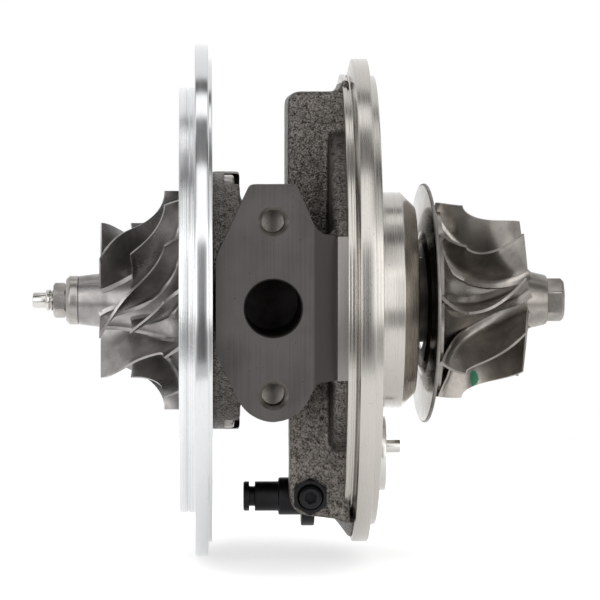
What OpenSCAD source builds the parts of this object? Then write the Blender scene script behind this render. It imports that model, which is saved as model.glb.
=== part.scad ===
// Turbocharger cartridge: centre housing, rotor, bearings and vane crank.
// X runs along the rotor axis towards the turbine, Z is up and the oil drain faces -Y.
// X = 0 is the shoulder of the seal plate that the compressor housing seats on.

/* [Seal plate] */
// Diameter of the large disc
plate_d = 116.2; // [112:0.1:130]
// Thickness of the large disc
plate_t = 3; // [2:0.1:5]
// Diameter of the pilot that enters the compressor housing
pilot_d = 96.6; // [80:0.1:104]
// Height of the pilot
pilot_h = 3.5; // [3:0.1:6]
// Diameter of the step on the back of the plate
plate_step_d = 109.8; // [90:0.1:111]
// Height of the step on the back of the plate
plate_step_h = 0.8; // [0.4:0.1:2]
// Width of the seal groove round the pilot
pilot_groove_w = 0.8; // [0.4:0.1:1.4]
// Depth of the seal groove round the pilot
pilot_groove_depth = 0.8; // [0.3:0.1:1.5]
// Depth of the recess that the compressor wheel turns in
wheel_recess_h = 2.2; // [1.6:0.1:2.8]
// Diameter of the thread that holds the plate
plate_screw_d = 5; // [4:0.5:6]
// Distance of the plate screws from the rim of the housing's flange
plate_screw_inset = 4.1; // [3.8:0.1:4.5]

/* [Compressor wheel] */
// Diameter over the blades at the outlet
comp_exducer_d = 50; // [44:0.5:54]
// Diameter over the blades at the inlet
comp_inducer_d = 35.2; // [30:0.2:40]
// Diameter of the hub at the leading edges
comp_hub_d = 12.2; // [11.4:0.2:14]
// Diameter of the hub's nose
comp_nose_d = 11; // [10:0.2:12]
// Length of the hub's nose in front of the leading edges
comp_nose_len = 5.2; // [3:0.1:8]
// Length from the leading edges to the disc
comp_blade_len = 18.7; // [16:0.1:22]
// Height of the blades at the outlet
comp_outlet_h = 4.2; // [3:0.1:6]
// Distance of the splitters behind the full blades' leading edges
comp_splitter_delay = 6.8; // [5:0.1:9]
// Number of full blades, and of splitters between them
comp_blades = 6; // [5:1:7]
// Thickness of a blade at its root
comp_blade_t = 1; // [0.8:0.1:1.4]
// Thickness of the disc at its rim
comp_rim_t = 0.9; // [0.6:0.1:1.4]

/* [Turbine wheel] */
// Diameter over the blades at the inlet
turb_tip_d = 44.7; // [40:0.1:48]
// Diameter over the blades at the outlet
turb_exducer_d = 36; // [32:0.2:40]
// Diameter of the scalloped disc behind the blades
turb_disc_d = 41; // [36:0.2:44]
// Thickness of that disc
turb_disc_t = 1.2; // [0.9:0.1:2]
// Width of the blades at the inlet
turb_inlet_w = 5; // [4:0.1:7]
// Length of the shroud edge of a blade
turb_shroud_len = 13.5; // [11:0.1:16]
// Diameter of the hub at the outlet
turb_hub_d = 13.2; // [11.6:0.2:15]
// Length of the hub from the disc to the trailing edges
turb_hub_len = 20; // [17:0.1:23]
// Length of the hub's nose behind the trailing edges
turb_nose_len = 4.6; // [3:0.1:7]
// Number of blades
turb_blades = 9; // [8:1:11]
// Thickness of a blade at its root
turb_blade_t = 1.9; // [1.4:0.1:2.4]
// Distance across the flats of the cast hexagon
turb_hex_flats = 8.7; // [7:0.1:10]
// Length of the cast hexagon
turb_hex_len = 3.8; // [2:0.1:6]

/* [Rotor shaft] */
// Diameter of the bearing journals
journal_d = 8; // [7:0.1:9]
// Diameter of the stub that carries the compressor wheel
stub_d = 5; // [4:0.1:6]
// Diameter of the plain tip
tip_d = 3.6; // [2.6:0.1:3.9]
// Length of the plain tip
tip_len = 2.9; // [1:0.1:5]
// Length of thread that stands out of the nut
thread_proud = 1.8; // [0.8:0.1:4]
// Diameter of the shaft boss at the turbine end
boss_d = 16.8; // [15:0.1:18]
// Distance across the flats of the compressor nut
nut_flats = 7; // [6.8:0.1:9]
// Height of the nut's hexagon
nut_hex_h = 2.9; // [2:0.1:5]
// Diameter of the nut's round collar
nut_collar_d = 11.1; // [9:0.1:12]
// Height of the nut's round collar
nut_collar_h = 2.7; // [1.5:0.1:5]

/* [Bearings] */
// Diameter of the bearing bore in the housing
bearing_bore_d = 15; // [13:0.1:17]
// Length of a floating bush
bush_len = 8; // [6:0.1:9]
// Thickness of a circlip
circlip_t = 0.9; // [0.6:0.1:1.2]
// Thickness of the thrust bearing
thrust_t = 2; // [1.5:0.1:3]
// Diameter of the thrust bearing's pocket
thrust_pocket_d = 35.6; // [33:0.1:36.4]
// Diameter of the thrust collar's flanges
thrust_collar_d = 17; // [15:0.1:18]
// Thickness of a thrust collar flange
thrust_collar_t = 1; // [0.7:0.1:1.4]
// Diameter of the thrust collar's neck
thrust_neck_d = 11; // [9:0.1:12.4]
// Diameter of the sleeve that runs through the seal plate
slinger_d = 16.6; // [14:0.1:18]
// Thickness of the oil deflector
deflector_t = 0.6; // [0.4:0.1:1]
// Width of the two piston rings
seal_ring_w = 1.2; // [0.8:0.1:1.5]

/* [Housing] */
// Diameter of the flange behind the seal plate
comp_flange_d = 58.6; // [57.6:0.1:62]
// Thickness of the flange behind the seal plate
comp_flange_t = 6.3; // [5.6:0.1:8]
// Diameter of the neck between the two flanges
neck_d = 40; // [38.4:0.1:41]
// Length from the seal plate to the turbine flange
body_len = 29.1; // [28:0.1:34]
// Diameter of the cast web behind the turbine flange
web_d = 84; // [76:0.2:94]
// Thickness of that web
web_t = 3.1; // [2:0.1:5]
// Diameter of the turbine flange's back shoulder
shoulder_d = 102.6; // [98:0.1:106]
// Width of that shoulder
shoulder_w = 1.7; // [1:0.1:3]
// Diameter of the turbine flange's rim
rim_d = 109.6; // [108:0.1:116]
// Width of the cone that a clamp band grips
rim_taper_w = 0.9; // [0.5:0.1:2]
// Width of the rim
rim_w = 3.4; // [2.5:0.1:6]
// Diameter of the register in the turbine housing
register_d = 102; // [96:0.1:106]
// Height of the register
register_h = 1.7; // [1:0.1:3]
// Diameter of the nose that carries the vane unit
nose_d = 49; // [44:0.1:50]
// Height of the nose
nose_h = 9.3; // [8:0.1:12]
// Chamfer on the nose
nose_chamfer = 3.3; // [1:0.1:4]
// Diameter of the bore that the turbine seal ring sits in
seal_bore_d = 18; // [17.6:0.1:20]

/* [Oil drain and inlet] */
// Distance of the drain bore from the seal plate
drain_offset = 13.1; // [12.6:0.1:14]
// Distance of the drain face from the rotor axis
drain_face = 46; // [42:0.5:52]
// Diameter of the drain bore
drain_bore_d = 12.3; // [10:0.1:14]
// Distance between the drain bolts
drain_bolt_span = 37.5; // [34:0.5:42]
// Minor diameter of the drain bolt threads
drain_thread_d = 5; // [4:0.1:6]
// Depth of the drain bolt threads
drain_thread_depth = 9.5; // [7:0.5:14]
// Thickness of the drain flange
drain_flange_t = 9; // [6:0.5:12]
// Reach of the drain flange towards the seal plate
drain_left = 12.4; // [10:0.1:13]
// Reach of the drain flange towards the turbine flange
drain_right = 13.8; // [12:0.1:15]
// Width of the flat on the upper ear
drain_ear_w = 10; // [8:0.1:12]
// Height of the upper ear above its bolt
drain_ear_h = 8; // [6:0.1:10]
// Radius of the lower ear
drain_ear_r = 8.5; // [7:0.1:10]
// Distance of the inlet face from the rotor axis
inlet_face = 36; // [33:0.5:42]
// Minor diameter of the oil inlet thread
inlet_thread_d = 8.9; // [7:0.1:10.8]
// Depth of the oil inlet thread
inlet_thread_depth = 12; // [8:0.5:13]

/* [Cast lugs] */
// Distance of the upper lug's left face from the seal plate
lug_offset = 16.9; // [14:0.1:20]
// Height of the upper lug above the rotor axis
lug_top = 47.2; // [42:0.1:49]
// Half width of the upper lug
lug_half_w = 17; // [12:0.5:20]
// Corner radius of the upper lug
lug_round = 2.5; // [1:0.1:4]
// Thickness of the lower lug's wall in front of the lever
lug_wall_t = 12.5; // [9:0.5:14]

/* [Vane crank] */
// Distance of the crank axis below the rotor axis
crank_drop = 35.2; // [34.5:0.1:36.5]
// Distance of the crank axis behind the rotor axis
crank_back = 3; // [1:0.1:5]
// Diameter of the crank spindle
spindle_d = 6; // [5:0.1:7]
// Outer diameter of the crank bushing
crank_bush_d = 9; // [8:0.1:10]
// Diameter of the cast boss round the bushing
crank_boss_d = 16; // [13:0.1:18]
// Height of the cast boss
crank_boss_h = 5.6; // [4:0.1:7]
// Diameter of the crank disc
crank_disc_d = 17; // [15:0.1:18]
// Thickness of the crank disc
crank_disc_t = 2.4; // [2:0.1:4]
// Diameter of the eccentric pin
crank_pin_d = 3; // [2.4:0.1:4]
// Distance of the eccentric pin from the crank axis
crank_throw = 5.9; // [5:0.1:6.4]
// Height of the eccentric pin above the disc
crank_pin_h = 3.2; // [2:0.1:5]

/* [Actuator lever] */
// Distance between the lever's two pins
lever_len = 12.5; // [11:0.1:13.5]
// Turn of the lever from straight down towards the drain side
lever_turn = 44; // [36:1:50]
// Thickness of the lever
lever_t = 3; // [2:0.1:4]
// Diameter of the lever's pin end
lever_end_d = 13.4; // [11:0.1:13.6]
// Diameter of the lever's hub end
lever_hub_d = 12; // [10:0.1:14]
// Diameter of the actuator pin
pin_d = 6.7; // [5.5:0.1:8]
// Length of the pin that the actuator rod sits on
pin_len = 5.3; // [4:0.1:8]
// Diameter of the pin's collar
pin_collar_d = 8.5; // [8:0.1:10]
// Length of the pin's collar
pin_collar_len = 5.1; // [3:0.1:7]
// Diameter of the pin's clip groove
pin_groove_d = 4.5; // [3.5:0.1:5]
// Width of the pin's clip groove
pin_groove_w = 1.3; // [0.8:0.1:2]
// Thickness of the pin's head
pin_head_t = 1.3; // [0.8:0.1:2]

/* [Stop screw] */
// Diameter of the stop screw
stop_screw_d = 5; // [4:0.1:6]
// Distance across the flats of its lock nut
stop_nut_flats = 7.2; // [6.8:0.1:8.4]
// Height of the lock nut
stop_nut_h = 3; // [2:0.1:4]
// Distance across the flats of its socket
stop_socket_flats = 2.5; // [2:0.1:3]
// Length of screw that stands out of the nut
stop_screw_proud = 2; // [1:0.1:5]
// Diameter of the cast boss round the stop screw
stop_boss_d = 9; // [8.6:0.1:11]

/* [Heat shield] */
// Diameter of the heat shield
shield_d = 54.4; // [50:0.1:56]
// Thickness of the sheet
shield_t = 0.8; // [0.5:0.1:1]
// Diameter of the hole in the shield
shield_hole_d = 20.8; // [20:0.1:23]
// Depth of the dish round the hole
shield_dish = 0.6; // [0.2:0.1:0.8]
// Tilt of the shield where it hangs loose
shield_tilt = 4.2; // [0:0.1:4.4]
// Distance from the nose to the turbine wheel's disc
shield_space = 4.4; // [4.2:0.1:6]

/* [Fits] */
// Radial clearance of the journals in the bushes
journal_fit = 0.03; // [0.02:0.01:0.06]
// Radial clearance of the bushes in the housing
bush_fit = 0.05; // [0.03:0.01:0.09]
// Radial clearance of pieces that are pressed or screwed together
seat_fit = 0.02; // [0.01:0.01:0.05]
// Radial clearance of the crank spindle
spindle_fit = 0.04; // [0.02:0.01:0.08]
// Clearance between pieces that move past each other
run_gap = 0.4; // [0.3:0.05:0.6]
// Axial play of the thrust collar
thrust_play = 0.05; // [0.03:0.01:0.1]

/* [Hidden] */
$fn = 96;

// Small constants of cuts: how far a cut runs past a face, and a thin wall left standing
past = 1;
thin_wall = 1.1;

// Stations along the rotor axis, seal plate and compressor wheel
x_plate_back = plate_t + plate_step_h;
x_recess = wheel_recess_h - pilot_h;
recess_gap = 0.6;
recess_r = comp_exducer_d / 2 + recess_gap;
x_comp_back = x_recess - run_gap;
x_comp_rim = x_comp_back - comp_rim_t;
x_comp_edge = x_comp_rim - comp_blade_len;
x_comp_nose = x_comp_edge - comp_nose_len;
x_nut_hex = x_comp_nose - nut_collar_h;
x_nut_end = x_nut_hex - nut_hex_h;
x_thread_end = x_nut_end - thread_proud;
x_tip = x_thread_end - tip_len;

// Stations of the thrust bearing, its collar and the sealing sleeve
plate_boss_h = 2.6;
plate_boss_wall = 4;
x_deflector = x_plate_back + plate_boss_h;
x_thrust = x_deflector + deflector_t;
x_pocket = x_thrust + thrust_t;
x_collar = x_thrust - thrust_play - thrust_collar_t;
x_journal = x_pocket + thrust_play + thrust_collar_t;
x_bore = x_journal + run_gap;
pocket_gap = 0.2;
collar_gap = 0.7;
slinger_gap = 0.1;
pocket_r = thrust_pocket_d / 2;
pocket_fill_r = pocket_r - pocket_gap;
collar_bore_r = thrust_collar_d / 2 + collar_gap;
slinger_r = slinger_d / 2;
slinger_bore_r = slinger_r + slinger_gap;
slinger_disc_h = 2.7;
slinger_disc_r = slinger_r + slinger_disc_h;
slinger_disc_t = 1;
thrust_pin_r = 1.25;
thrust_pin_inset = 3.3;
thrust_pin_seat = 3;
thrust_pin_sink = 0.2;
thrust_pin_len = thrust_t + thrust_pin_seat;
x_thrust_pin = x_thrust + thrust_pin_sink;
x_slinger_disc = x_plate_back + run_gap;
stub_bore_r = stub_d / 2 + seat_fit;

// Stations of the turbine flange, the nose and the turbine wheel
x_comp_flange = x_plate_back + comp_flange_t;
x_shoulder = x_plate_back + body_len;
x_web = x_shoulder - web_t;
x_taper = x_shoulder + shoulder_w;
x_rim = x_taper + rim_taper_w;
x_register = x_rim + rim_w;
x_face = x_register + register_h;
x_nose = x_face + nose_h;
x_turb_disc = x_nose + shield_space;
x_turb_hub = x_turb_disc + turb_disc_t;
weld_boss_len = 1.1;
weld_collar_gap = 0.5;
weld_collar_play = 0.8;
weld_collar_r = shield_hole_d / 2 - weld_collar_play;
x_weld_collar = x_nose + weld_collar_gap;
x_turb_joint = x_turb_disc - weld_boss_len;
x_turb_edge = x_turb_hub + turb_hub_len;
x_turb_hex = x_turb_edge + turb_nose_len;
x_turb_end = x_turb_hex + turb_hex_len;

// Bearing bore, bushes, circlips and the seal at the turbine end
bore_r = bearing_bore_d / 2;
seal_bore_len = 7.9;
gallery_w = 2;
bush_play = 0.3;
x_seal_bore = x_nose - seal_bore_len;
x_gallery = x_seal_bore - run_gap - gallery_w;
x_bush_comp = x_bore + run_gap + circlip_t + bush_play;
x_bush_turb = x_gallery - run_gap - circlip_t - bush_play - bush_len;
bush_starts = [x_bush_comp, x_bush_turb];
circlip_starts = [for (x = bush_starts) each [x - bush_play - circlip_t, x + bush_len + bush_play]];
circlip_groove_depth = 0.8;
circlip_groove_r = bore_r + circlip_groove_depth;
boss_offset = 0.6;
boss_start = x_seal_bore + boss_offset;
turb_ring_offset = 3.6;
x_turb_ring = x_seal_bore + turb_ring_offset;
seal_ring_play = 0.1;
ring_depth = 1.5;

// Oil cavity round the bearing tube, open to the drain
bearing_tube_wall = 3.5;
neck_wall = 3;
cavity_r0 = bore_r + bearing_tube_wall;
cavity_r1 = neck_d / 2 - neck_wall;
cavity_half = 75;
x_cavity = x_pocket + bearing_tube_wall;

// Oil drain, oil inlet and the feed holes to the bushes
x_drain = x_plate_back + drain_offset;
drain_top = drain_bolt_span / 2 + drain_ear_h;
drain_shoulder_z = 15.6;
drain_neck_wall = 6.5;
drain_neck_r = drain_bore_d / 2 + drain_neck_wall;
drain_boss_wall = 4;
thread_chamfer = 0.8;
inlet_wall = 6;
inlet_boss_r = inlet_thread_d / 2 + inlet_wall;
feed_r = 1.5;

// Plate screws, whose spot faces run out through the flange's rim, and the O-ring between plate and housing
screw_r = comp_flange_d / 2 - plate_screw_inset;
screw_head_wall = 1.5;
screw_head_r = plate_screw_d / 2 + screw_head_wall;
screw_head_h = 2.8;
screw_head_gap = 1.4;
screw_hole_gap = 0.25;
screw_seat_t = 2.8;
screw_grip = 3.8;
seat_run_out = 3;
x_screw_seat = x_plate_back + screw_seat_t;
x_screw_tip = x_plate_back - screw_grip;
screw_angles = [107.6, 252.4, 330];
o_ring_w = 1.8;
o_ring_h = 1.4;
o_ring_r = (pocket_r + screw_r - plate_screw_d / 2) / 2;

// Vane crank, lever and actuator pin
crank_y = crank_back;
crank_z = -crank_drop;
x_crank_boss = x_shoulder - crank_boss_h;
x_lever_back = x_crank_boss - run_gap;
x_lever = x_lever_back - lever_t;
pin_y = crank_y - lever_len * sin(lever_turn);
pin_z = crank_z - lever_len * cos(lever_turn);
x_pin_collar = x_lever - pin_collar_len;
x_pin_body = x_pin_collar - pin_len;
x_pin_head = x_pin_body - pin_groove_w;
x_pin_end = x_pin_head - pin_head_t;
x_disc = x_face + run_gap;
crank_pin_turn = 20;
crank_pin_step = 0.4;
rivet_step = 0.6;
crank_pin_y = crank_y - crank_throw * cos(crank_pin_turn);
crank_pin_z = crank_z + crank_throw * sin(crank_pin_turn);
crank_shank_r = crank_pin_d / 2 - crank_pin_step;
rivet_r = spindle_d / 2 - rivet_step;

// Lower lug and stop screw, set in front of the lever
stop_x = x_lever + lever_t / 2;
stop_lift = 1.8;
stop_tip_proud = 0.7;
stop_socket_depth = 2.5;
stop_z = pin_z + stop_lift;
stop_tip_y = pin_y - lever_end_d / 2 - run_gap;
lug_wall_y = stop_tip_y - stop_tip_proud;
lug_front_y = lug_wall_y - lug_wall_t;
lug_x = x_plate_back + lug_offset;

// Heat shield, hanging on the weld collar
hang_gap = 0.1;
shield_drop = weld_collar_play - hang_gap;
x_shield = x_nose + shield_space / 2;

// A point of a wheel: station, radius and angle up from the drain side
function polar(x, r, angle) = [x, -r * cos(angle), r * sin(angle)];
function arc(x, y, r, from, to, steps = 6) =
    [for (i = [0 : steps]) let (a = from + (to - from) * i / steps) [x + r * cos(a), y + r * sin(a)]];
function hex_r(flats) = flats / sqrt(3);
function mix(a, b, t) = a + (b - a) * t;

// Profile of station and radius, turned about the rotor axis
module turned(profile) {
    rotate([0, 90, 0])
        rotate_extrude()
            polygon([for (p = profile) [p[1], p[0]]]);
}

// The same, over a sector whose angles count from straight down, positive away from the drain
module turned_sector(profile, from, to) {
    rotate([from, 0, 0])
        rotate([0, 90, 0])
            rotate_extrude(angle = to - from)
                polygon([for (p = profile) [p[1], p[0]]]);
}

module ring(x0, x1, r0, r1) {
    turned([[x0, r0], [x1, r0], [x1, r1], [x0, r1]]);
}

module rod_x(x0, x1, r, y = 0, z = 0) {
    translate([x0, y, z])
        rotate([0, 90, 0])
            cylinder(h = x1 - x0, r = r);
}

module rod_y(y0, y1, r, x, z) {
    translate([x, y1, z])
        rotate([90, 0, 0])
            cylinder(h = y1 - y0, r = r);
}

// Outline of X and Z, extruded along Y
module across(y0, y1) {
    translate([0, y1, 0])
        rotate([90, 0, 0])
            linear_extrude(y1 - y0)
                children();
}

// Outline of Y and Z, extruded along X
module along(x0, x1) {
    translate([x0, 0, 0])
        rotate([90, 0, 90])
            linear_extrude(x1 - x0)
                children();
}

module hex_x(x0, x1, flats, turn = 0) {
    translate([x0, 0, 0])
        rotate([turn, 0, 0])
            rotate([0, 90, 0])
                cylinder(h = x1 - x0, r = hex_r(flats), $fn = 6);
}

// Drain flange outline: a trapezoid ear above, a round ear below, a long shoulder to the turbine flange
module drain_outline() {
    ear = drain_ear_w / 2;
    low = -drain_bolt_span / 2 - 0.2;
    translate([x_drain, 0]) {
        polygon([[-ear, drain_top], [ear, drain_top], [ear + 0.8, drain_top - 0.9],
                 [drain_ear_r + 0.3, drain_shoulder_z + 2.3], [drain_ear_r + 1.8, drain_shoulder_z + 0.8],
                 [drain_right, drain_shoulder_z], [drain_right, -drain_shoulder_z],
                 [drain_ear_r + 0.9, -drain_shoulder_z - 0.6], [drain_ear_r - 1, low - 1],
                 [1 - drain_ear_r, low - 2], [-drain_left, -drain_shoulder_z + 6], [-drain_left, 11]]);
        translate([0, drain_ear_r - drain_bolt_span / 2 - 5.8])
            circle(r = drain_ear_r);
    }
}

module drain_block() {
    across(-drain_face, drain_flange_t - drain_face)
        drain_outline();
    rod_y(drain_flange_t - drain_face - past, 0, drain_neck_r, x_drain, 0);
    for (side = [-1, 1])
        rod_y(drain_flange_t - drain_face - past, -neck_d / 4, drain_thread_d / 2 + drain_boss_wall, x_drain,
              side * drain_bolt_span / 2);
    across(drain_flange_t - drain_face - past, -neck_d / 4)
        polygon([[x_drain, -drain_shoulder_z + 2], [x_shoulder, -drain_shoulder_z + 2],
                 [x_shoulder, drain_shoulder_z - 2], [x_drain, drain_shoulder_z - 2]]);
    drain_step();
}

// Step beside the drain face, turned together with the shoulder of the turbine flange
module drain_step() {
    half = atan((drain_shoulder_z + 1) / drain_face);
    left = min(x_drain + drain_right, x_shoulder) - 0.1;
    right = x_shoulder + 0.3;
    root = web_d / 2 - 4;
    top = shoulder_d / 2 - 0.3;
    turned_sector([[left, root], [right, root], [right, top], [left, top]], -90 - half, half - 90);
}

// Upper cast lug, with a rounded corner and a fillet up to the flange
module upper_lug() {
    fillet = 2.5;
    across(-lug_half_w, lug_half_w)
        polygon(concat([[lug_x, 0]],
                       arc(lug_x + lug_round, lug_top - lug_round, lug_round, 180, 90),
                       arc(x_shoulder - fillet, lug_top + fillet, fillet, -90, 0),
                       [[x_shoulder + 0.3, lug_top + fillet], [x_shoulder + 0.3, 0]]));
}

// Lower cast lug: a wall in front of the lever that ends in the boss of the stop screw
module lower_lug() {
    boss = stop_boss_d / 2;
    across(lug_front_y, lug_wall_y)
        polygon(concat([[stop_x - boss, 0]],
                       arc(stop_x, stop_z, boss, 180, 270),
                       [[x_web + 1, stop_z - boss - 0.6], [x_shoulder + 0.3, stop_z - boss - 2],
                        [x_shoulder + 0.3, 0]]));
}

// Flare from the lower lug to the rim of the turbine flange
module lower_flare() {
    root = web_d / 2 - 2;
    lip = rim_d / 2 - 0.5;
    turned_sector([[x_web + 0.8, root], [x_web + 1.2, lip - 5.3], [x_taper, lip], [x_rim + 0.5, lip],
                   [x_rim + 0.5, root]], -25, 20);
}

module housing_turned() {
    neck = neck_d / 2;
    fillet = 5;
    flange = comp_flange_d / 2;
    web = web_d / 2;
    turned(concat(
        [[x_plate_back, 0], [x_plate_back, flange], [x_comp_flange, flange]],
        arc(x_comp_flange + fillet, neck + fillet, fillet, 180, 270),
        arc(x_web - fillet, neck + fillet, fillet, 270, 360),
        [[x_web, web - 1], [x_web + 1, web], [x_shoulder, web], [x_shoulder, shoulder_d / 2],
         [x_taper, shoulder_d / 2], [x_rim, rim_d / 2], [x_register, rim_d / 2],
         [x_register, register_d / 2], [x_face, register_d / 2], [x_face, nose_d / 2],
         [x_nose - nose_chamfer, nose_d / 2], [x_nose, nose_d / 2 - nose_chamfer], [x_nose, 0]]));
}

// Pocket of the thrust bearing, bearing bore and seal bore, along the rotor axis
module housing_bores() {
    ring(x_plate_back - past, x_pocket, 0, pocket_r);
    ring(x_pocket - past, x_bore, 0, collar_bore_r);
    ring(x_bore - past, x_seal_bore + past, 0, bore_r);
    ring(x_seal_bore, x_nose + past, 0, seal_bore_d / 2);
    for (x = circlip_starts)
        ring(x - seat_fit, x + circlip_t + seat_fit, bore_r - past, circlip_groove_r);
    ring(x_plate_back - past, x_plate_back + o_ring_h + seat_fit, o_ring_r - o_ring_w / 2 - seat_fit,
         o_ring_r + o_ring_w / 2 + seat_fit);
}

// Oil cavity on the drain side, its ways in from the bearings and the drain bore
module oil_ways() {
    turned_sector([[x_cavity, cavity_r0], [x_gallery, cavity_r0], [x_gallery, bore_r - past],
                   [x_gallery + gallery_w, bore_r - past], [x_gallery + gallery_w, cavity_r1],
                   [x_cavity, cavity_r1]], -90 - cavity_half, cavity_half - 90);
    bush_gap = x_bush_turb - x_bush_comp - bush_len;
    rod_y(-cavity_r1 + past, 0, bush_gap / 2 - circlip_t - bush_play - 1,
          x_bush_comp + bush_len + bush_gap / 2, 0);
    rod_x(x_pocket - past, x_cavity + past, 2.5, -(cavity_r0 + cavity_r1) / 2, 0);
    rod_y(-drain_face - past, -cavity_r0 - past, drain_bore_d / 2, x_drain, 0);
    for (side = [-1, 1]) {
        rod_y(-drain_face - past, drain_thread_depth - drain_face, drain_thread_d / 2, x_drain,
              side * drain_bolt_span / 2);
        translate([x_drain, -drain_face - 0.01, side * drain_bolt_span / 2])
            rotate([-90, 0, 0])
                cylinder(h = thread_chamfer, r1 = drain_thread_d / 2 + thread_chamfer,
                         r2 = drain_thread_d / 2);
    }
    inlet_floor = inlet_face - inlet_thread_depth;
    rod_y(inlet_floor, inlet_face + past, inlet_thread_d / 2, x_drain, 0);
    for (x = bush_starts) {
        dx = x + bush_len / 2 - x_drain;
        dy = inlet_floor + 1;
        translate([x_drain, dy, 0])
            rotate([90, 0, atan2(dx, dy)])
                cylinder(h = sqrt(dx * dx + dy * dy) - bore_r / 2, r = feed_r);
    }
}

module screw_holes() {
    for (a = screw_angles) {
        y = screw_r * cos(a);
        z = screw_r * sin(a);
        rod_x(x_plate_back - past, x_comp_flange, plate_screw_d / 2 + screw_hole_gap, y, z);
        rod_x(x_screw_seat, x_comp_flange + seat_run_out, screw_head_r + screw_head_gap, y, z);
    }
}

module thrust_pin_places() {
    for (side = [-1, 1])
        translate([0, 0, side * (pocket_r - thrust_pin_inset)])
            children();
}

module bearing_housing() {
    color("dimgray")
        difference() {
            union() {
                housing_turned();
                drain_block();
                upper_lug();
                lower_lug();
                lower_flare();
                rod_x(x_crank_boss, x_taper, crank_boss_d / 2, crank_y, crank_z);
                rod_y(0, inlet_face, inlet_boss_r, x_drain, 0);
            }
            housing_bores();
            oil_ways();
            screw_holes();
            thrust_pin_places()
                rod_x(x_pocket - past, x_thrust_pin + thrust_pin_len + seat_fit, thrust_pin_r + seat_fit);
            rod_x(x_crank_boss - past, x_face + past, crank_bush_d / 2 + seat_fit, crank_y, crank_z);
            rod_y(lug_front_y - past, lug_wall_y + past, stop_screw_d / 2 + seat_fit, stop_x, stop_z);
        }
}

module seal_plate() {
    groove_x = -pilot_h / 2;
    color("silver")
        difference() {
            union() {
                ring(-pilot_h, plate_t, slinger_bore_r, pilot_d / 2);
                ring(0, plate_t, slinger_bore_r, plate_d / 2);
                ring(plate_t - thin_wall, x_plate_back, slinger_bore_r, plate_step_d / 2);
                ring(x_plate_back - thin_wall, x_deflector, pocket_fill_r - plate_boss_wall, pocket_fill_r);
            }
            ring(-pilot_h - past, x_recess, 0, recess_r);
            ring(groove_x, groove_x + pilot_groove_w, pilot_d / 2 - pilot_groove_depth, pilot_d / 2 + past);
            for (a = screw_angles)
                rod_x(x_screw_tip - 0.2, x_plate_back + past, plate_screw_d / 2 + seat_fit,
                      screw_r * cos(a), screw_r * sin(a));
        }
}

module seal_plate_screws() {
    color("dimgray")
        for (a = screw_angles)
            translate([0, screw_r * cos(a), screw_r * sin(a)])
                difference() {
                    union() {
                        rod_x(x_screw_tip, x_screw_seat + thin_wall, plate_screw_d / 2);
                        rod_x(x_screw_seat, x_screw_seat + screw_head_h, screw_head_r);
                    }
                    hex_x(x_screw_seat + thin_wall, x_screw_seat + screw_head_h + past, plate_screw_d * 0.6);
                }
}

module seal_plate_o_ring() {
    color("black")
        ring(x_plate_back, x_plate_back + o_ring_h, o_ring_r - o_ring_w / 2, o_ring_r + o_ring_w / 2);
}

// Horseshoe plate that slides over the neck of the thrust collar
module thrust_bearing() {
    slot_r = thrust_neck_d / 2 + 0.1;
    color("goldenrod")
        difference() {
            ring(x_thrust, x_pocket, slot_r, pocket_fill_r);
            translate([x_thrust - past, -pocket_r - past, -slot_r])
                cube([thrust_t + 2 * past, pocket_r + past, 2 * slot_r]);
            thrust_pin_places()
                rod_x(x_thrust - past, x_pocket + past, thrust_pin_r + seat_fit);
        }
}

module thrust_bearing_pins() {
    color("silver")
        thrust_pin_places()
            rod_x(x_thrust_pin, x_thrust_pin + thrust_pin_len, thrust_pin_r);
}

module oil_deflector() {
    tongue_w = 12;
    color("darkgray")
        difference() {
            ring(x_deflector, x_thrust, thrust_collar_d / 2 + 0.8, pocket_fill_r);
            translate([x_deflector - past, -pocket_r - past, -tongue_w / 2])
                cube([deflector_t + 2 * past, pocket_r, tongue_w]);
        }
}

// Piston ring with a gap, sprung out into its bore
module piston_ring(x, outer) {
    gap = 6;
    turned_sector([[x, outer - ring_depth + 0.2], [x + seal_ring_w, outer - ring_depth + 0.2],
                   [x + seal_ring_w, outer], [x, outer]], gap / 2, 360 - gap / 2);
}

module compressor_seal_ring() {
    color("gray")
        piston_ring(x_slinger_groove + seal_ring_play, slinger_bore_r - seat_fit);
}

module turbine_seal_ring() {
    color("gray")
        piston_ring(x_turb_ring + seal_ring_play, seal_bore_d / 2 - seat_fit);
}

module bearing_circlips() {
    opening = 50;
    outer = circlip_groove_r - seat_fit;
    inner = bore_r - 1.2;
    color("darkgray")
        for (x = circlip_starts)
            turned_sector([[x, inner], [x + circlip_t, inner], [x + circlip_t, outer], [x, outer]],
                          opening / 2, 360 - opening / 2);
}

module heat_shield() {
    hole = shield_hole_d / 2;
    rim = shield_d / 2;
    half = shield_t / 2;
    color("gainsboro")
        translate([x_shield, 0, -shield_drop])
            rotate([0, 0, shield_tilt])
                turned([[-half - shield_dish, hole], [-half - shield_dish, hole + 4], [-half, hole + 6],
                        [-half, rim - 0.2], [-half + 0.2, rim], [half - 0.2, rim], [half, rim - 0.2],
                        [half, hole + 6], [half - shield_dish, hole + 4], [half - shield_dish, hole]]);
}

module crank_bushing() {
    color("peru")
        difference() {
            rod_x(x_crank_boss, x_face, crank_bush_d / 2, crank_y, crank_z);
            rod_x(x_crank_boss - past, x_face + past, spindle_d / 2 + spindle_fit, crank_y, crank_z);
        }
}

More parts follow.
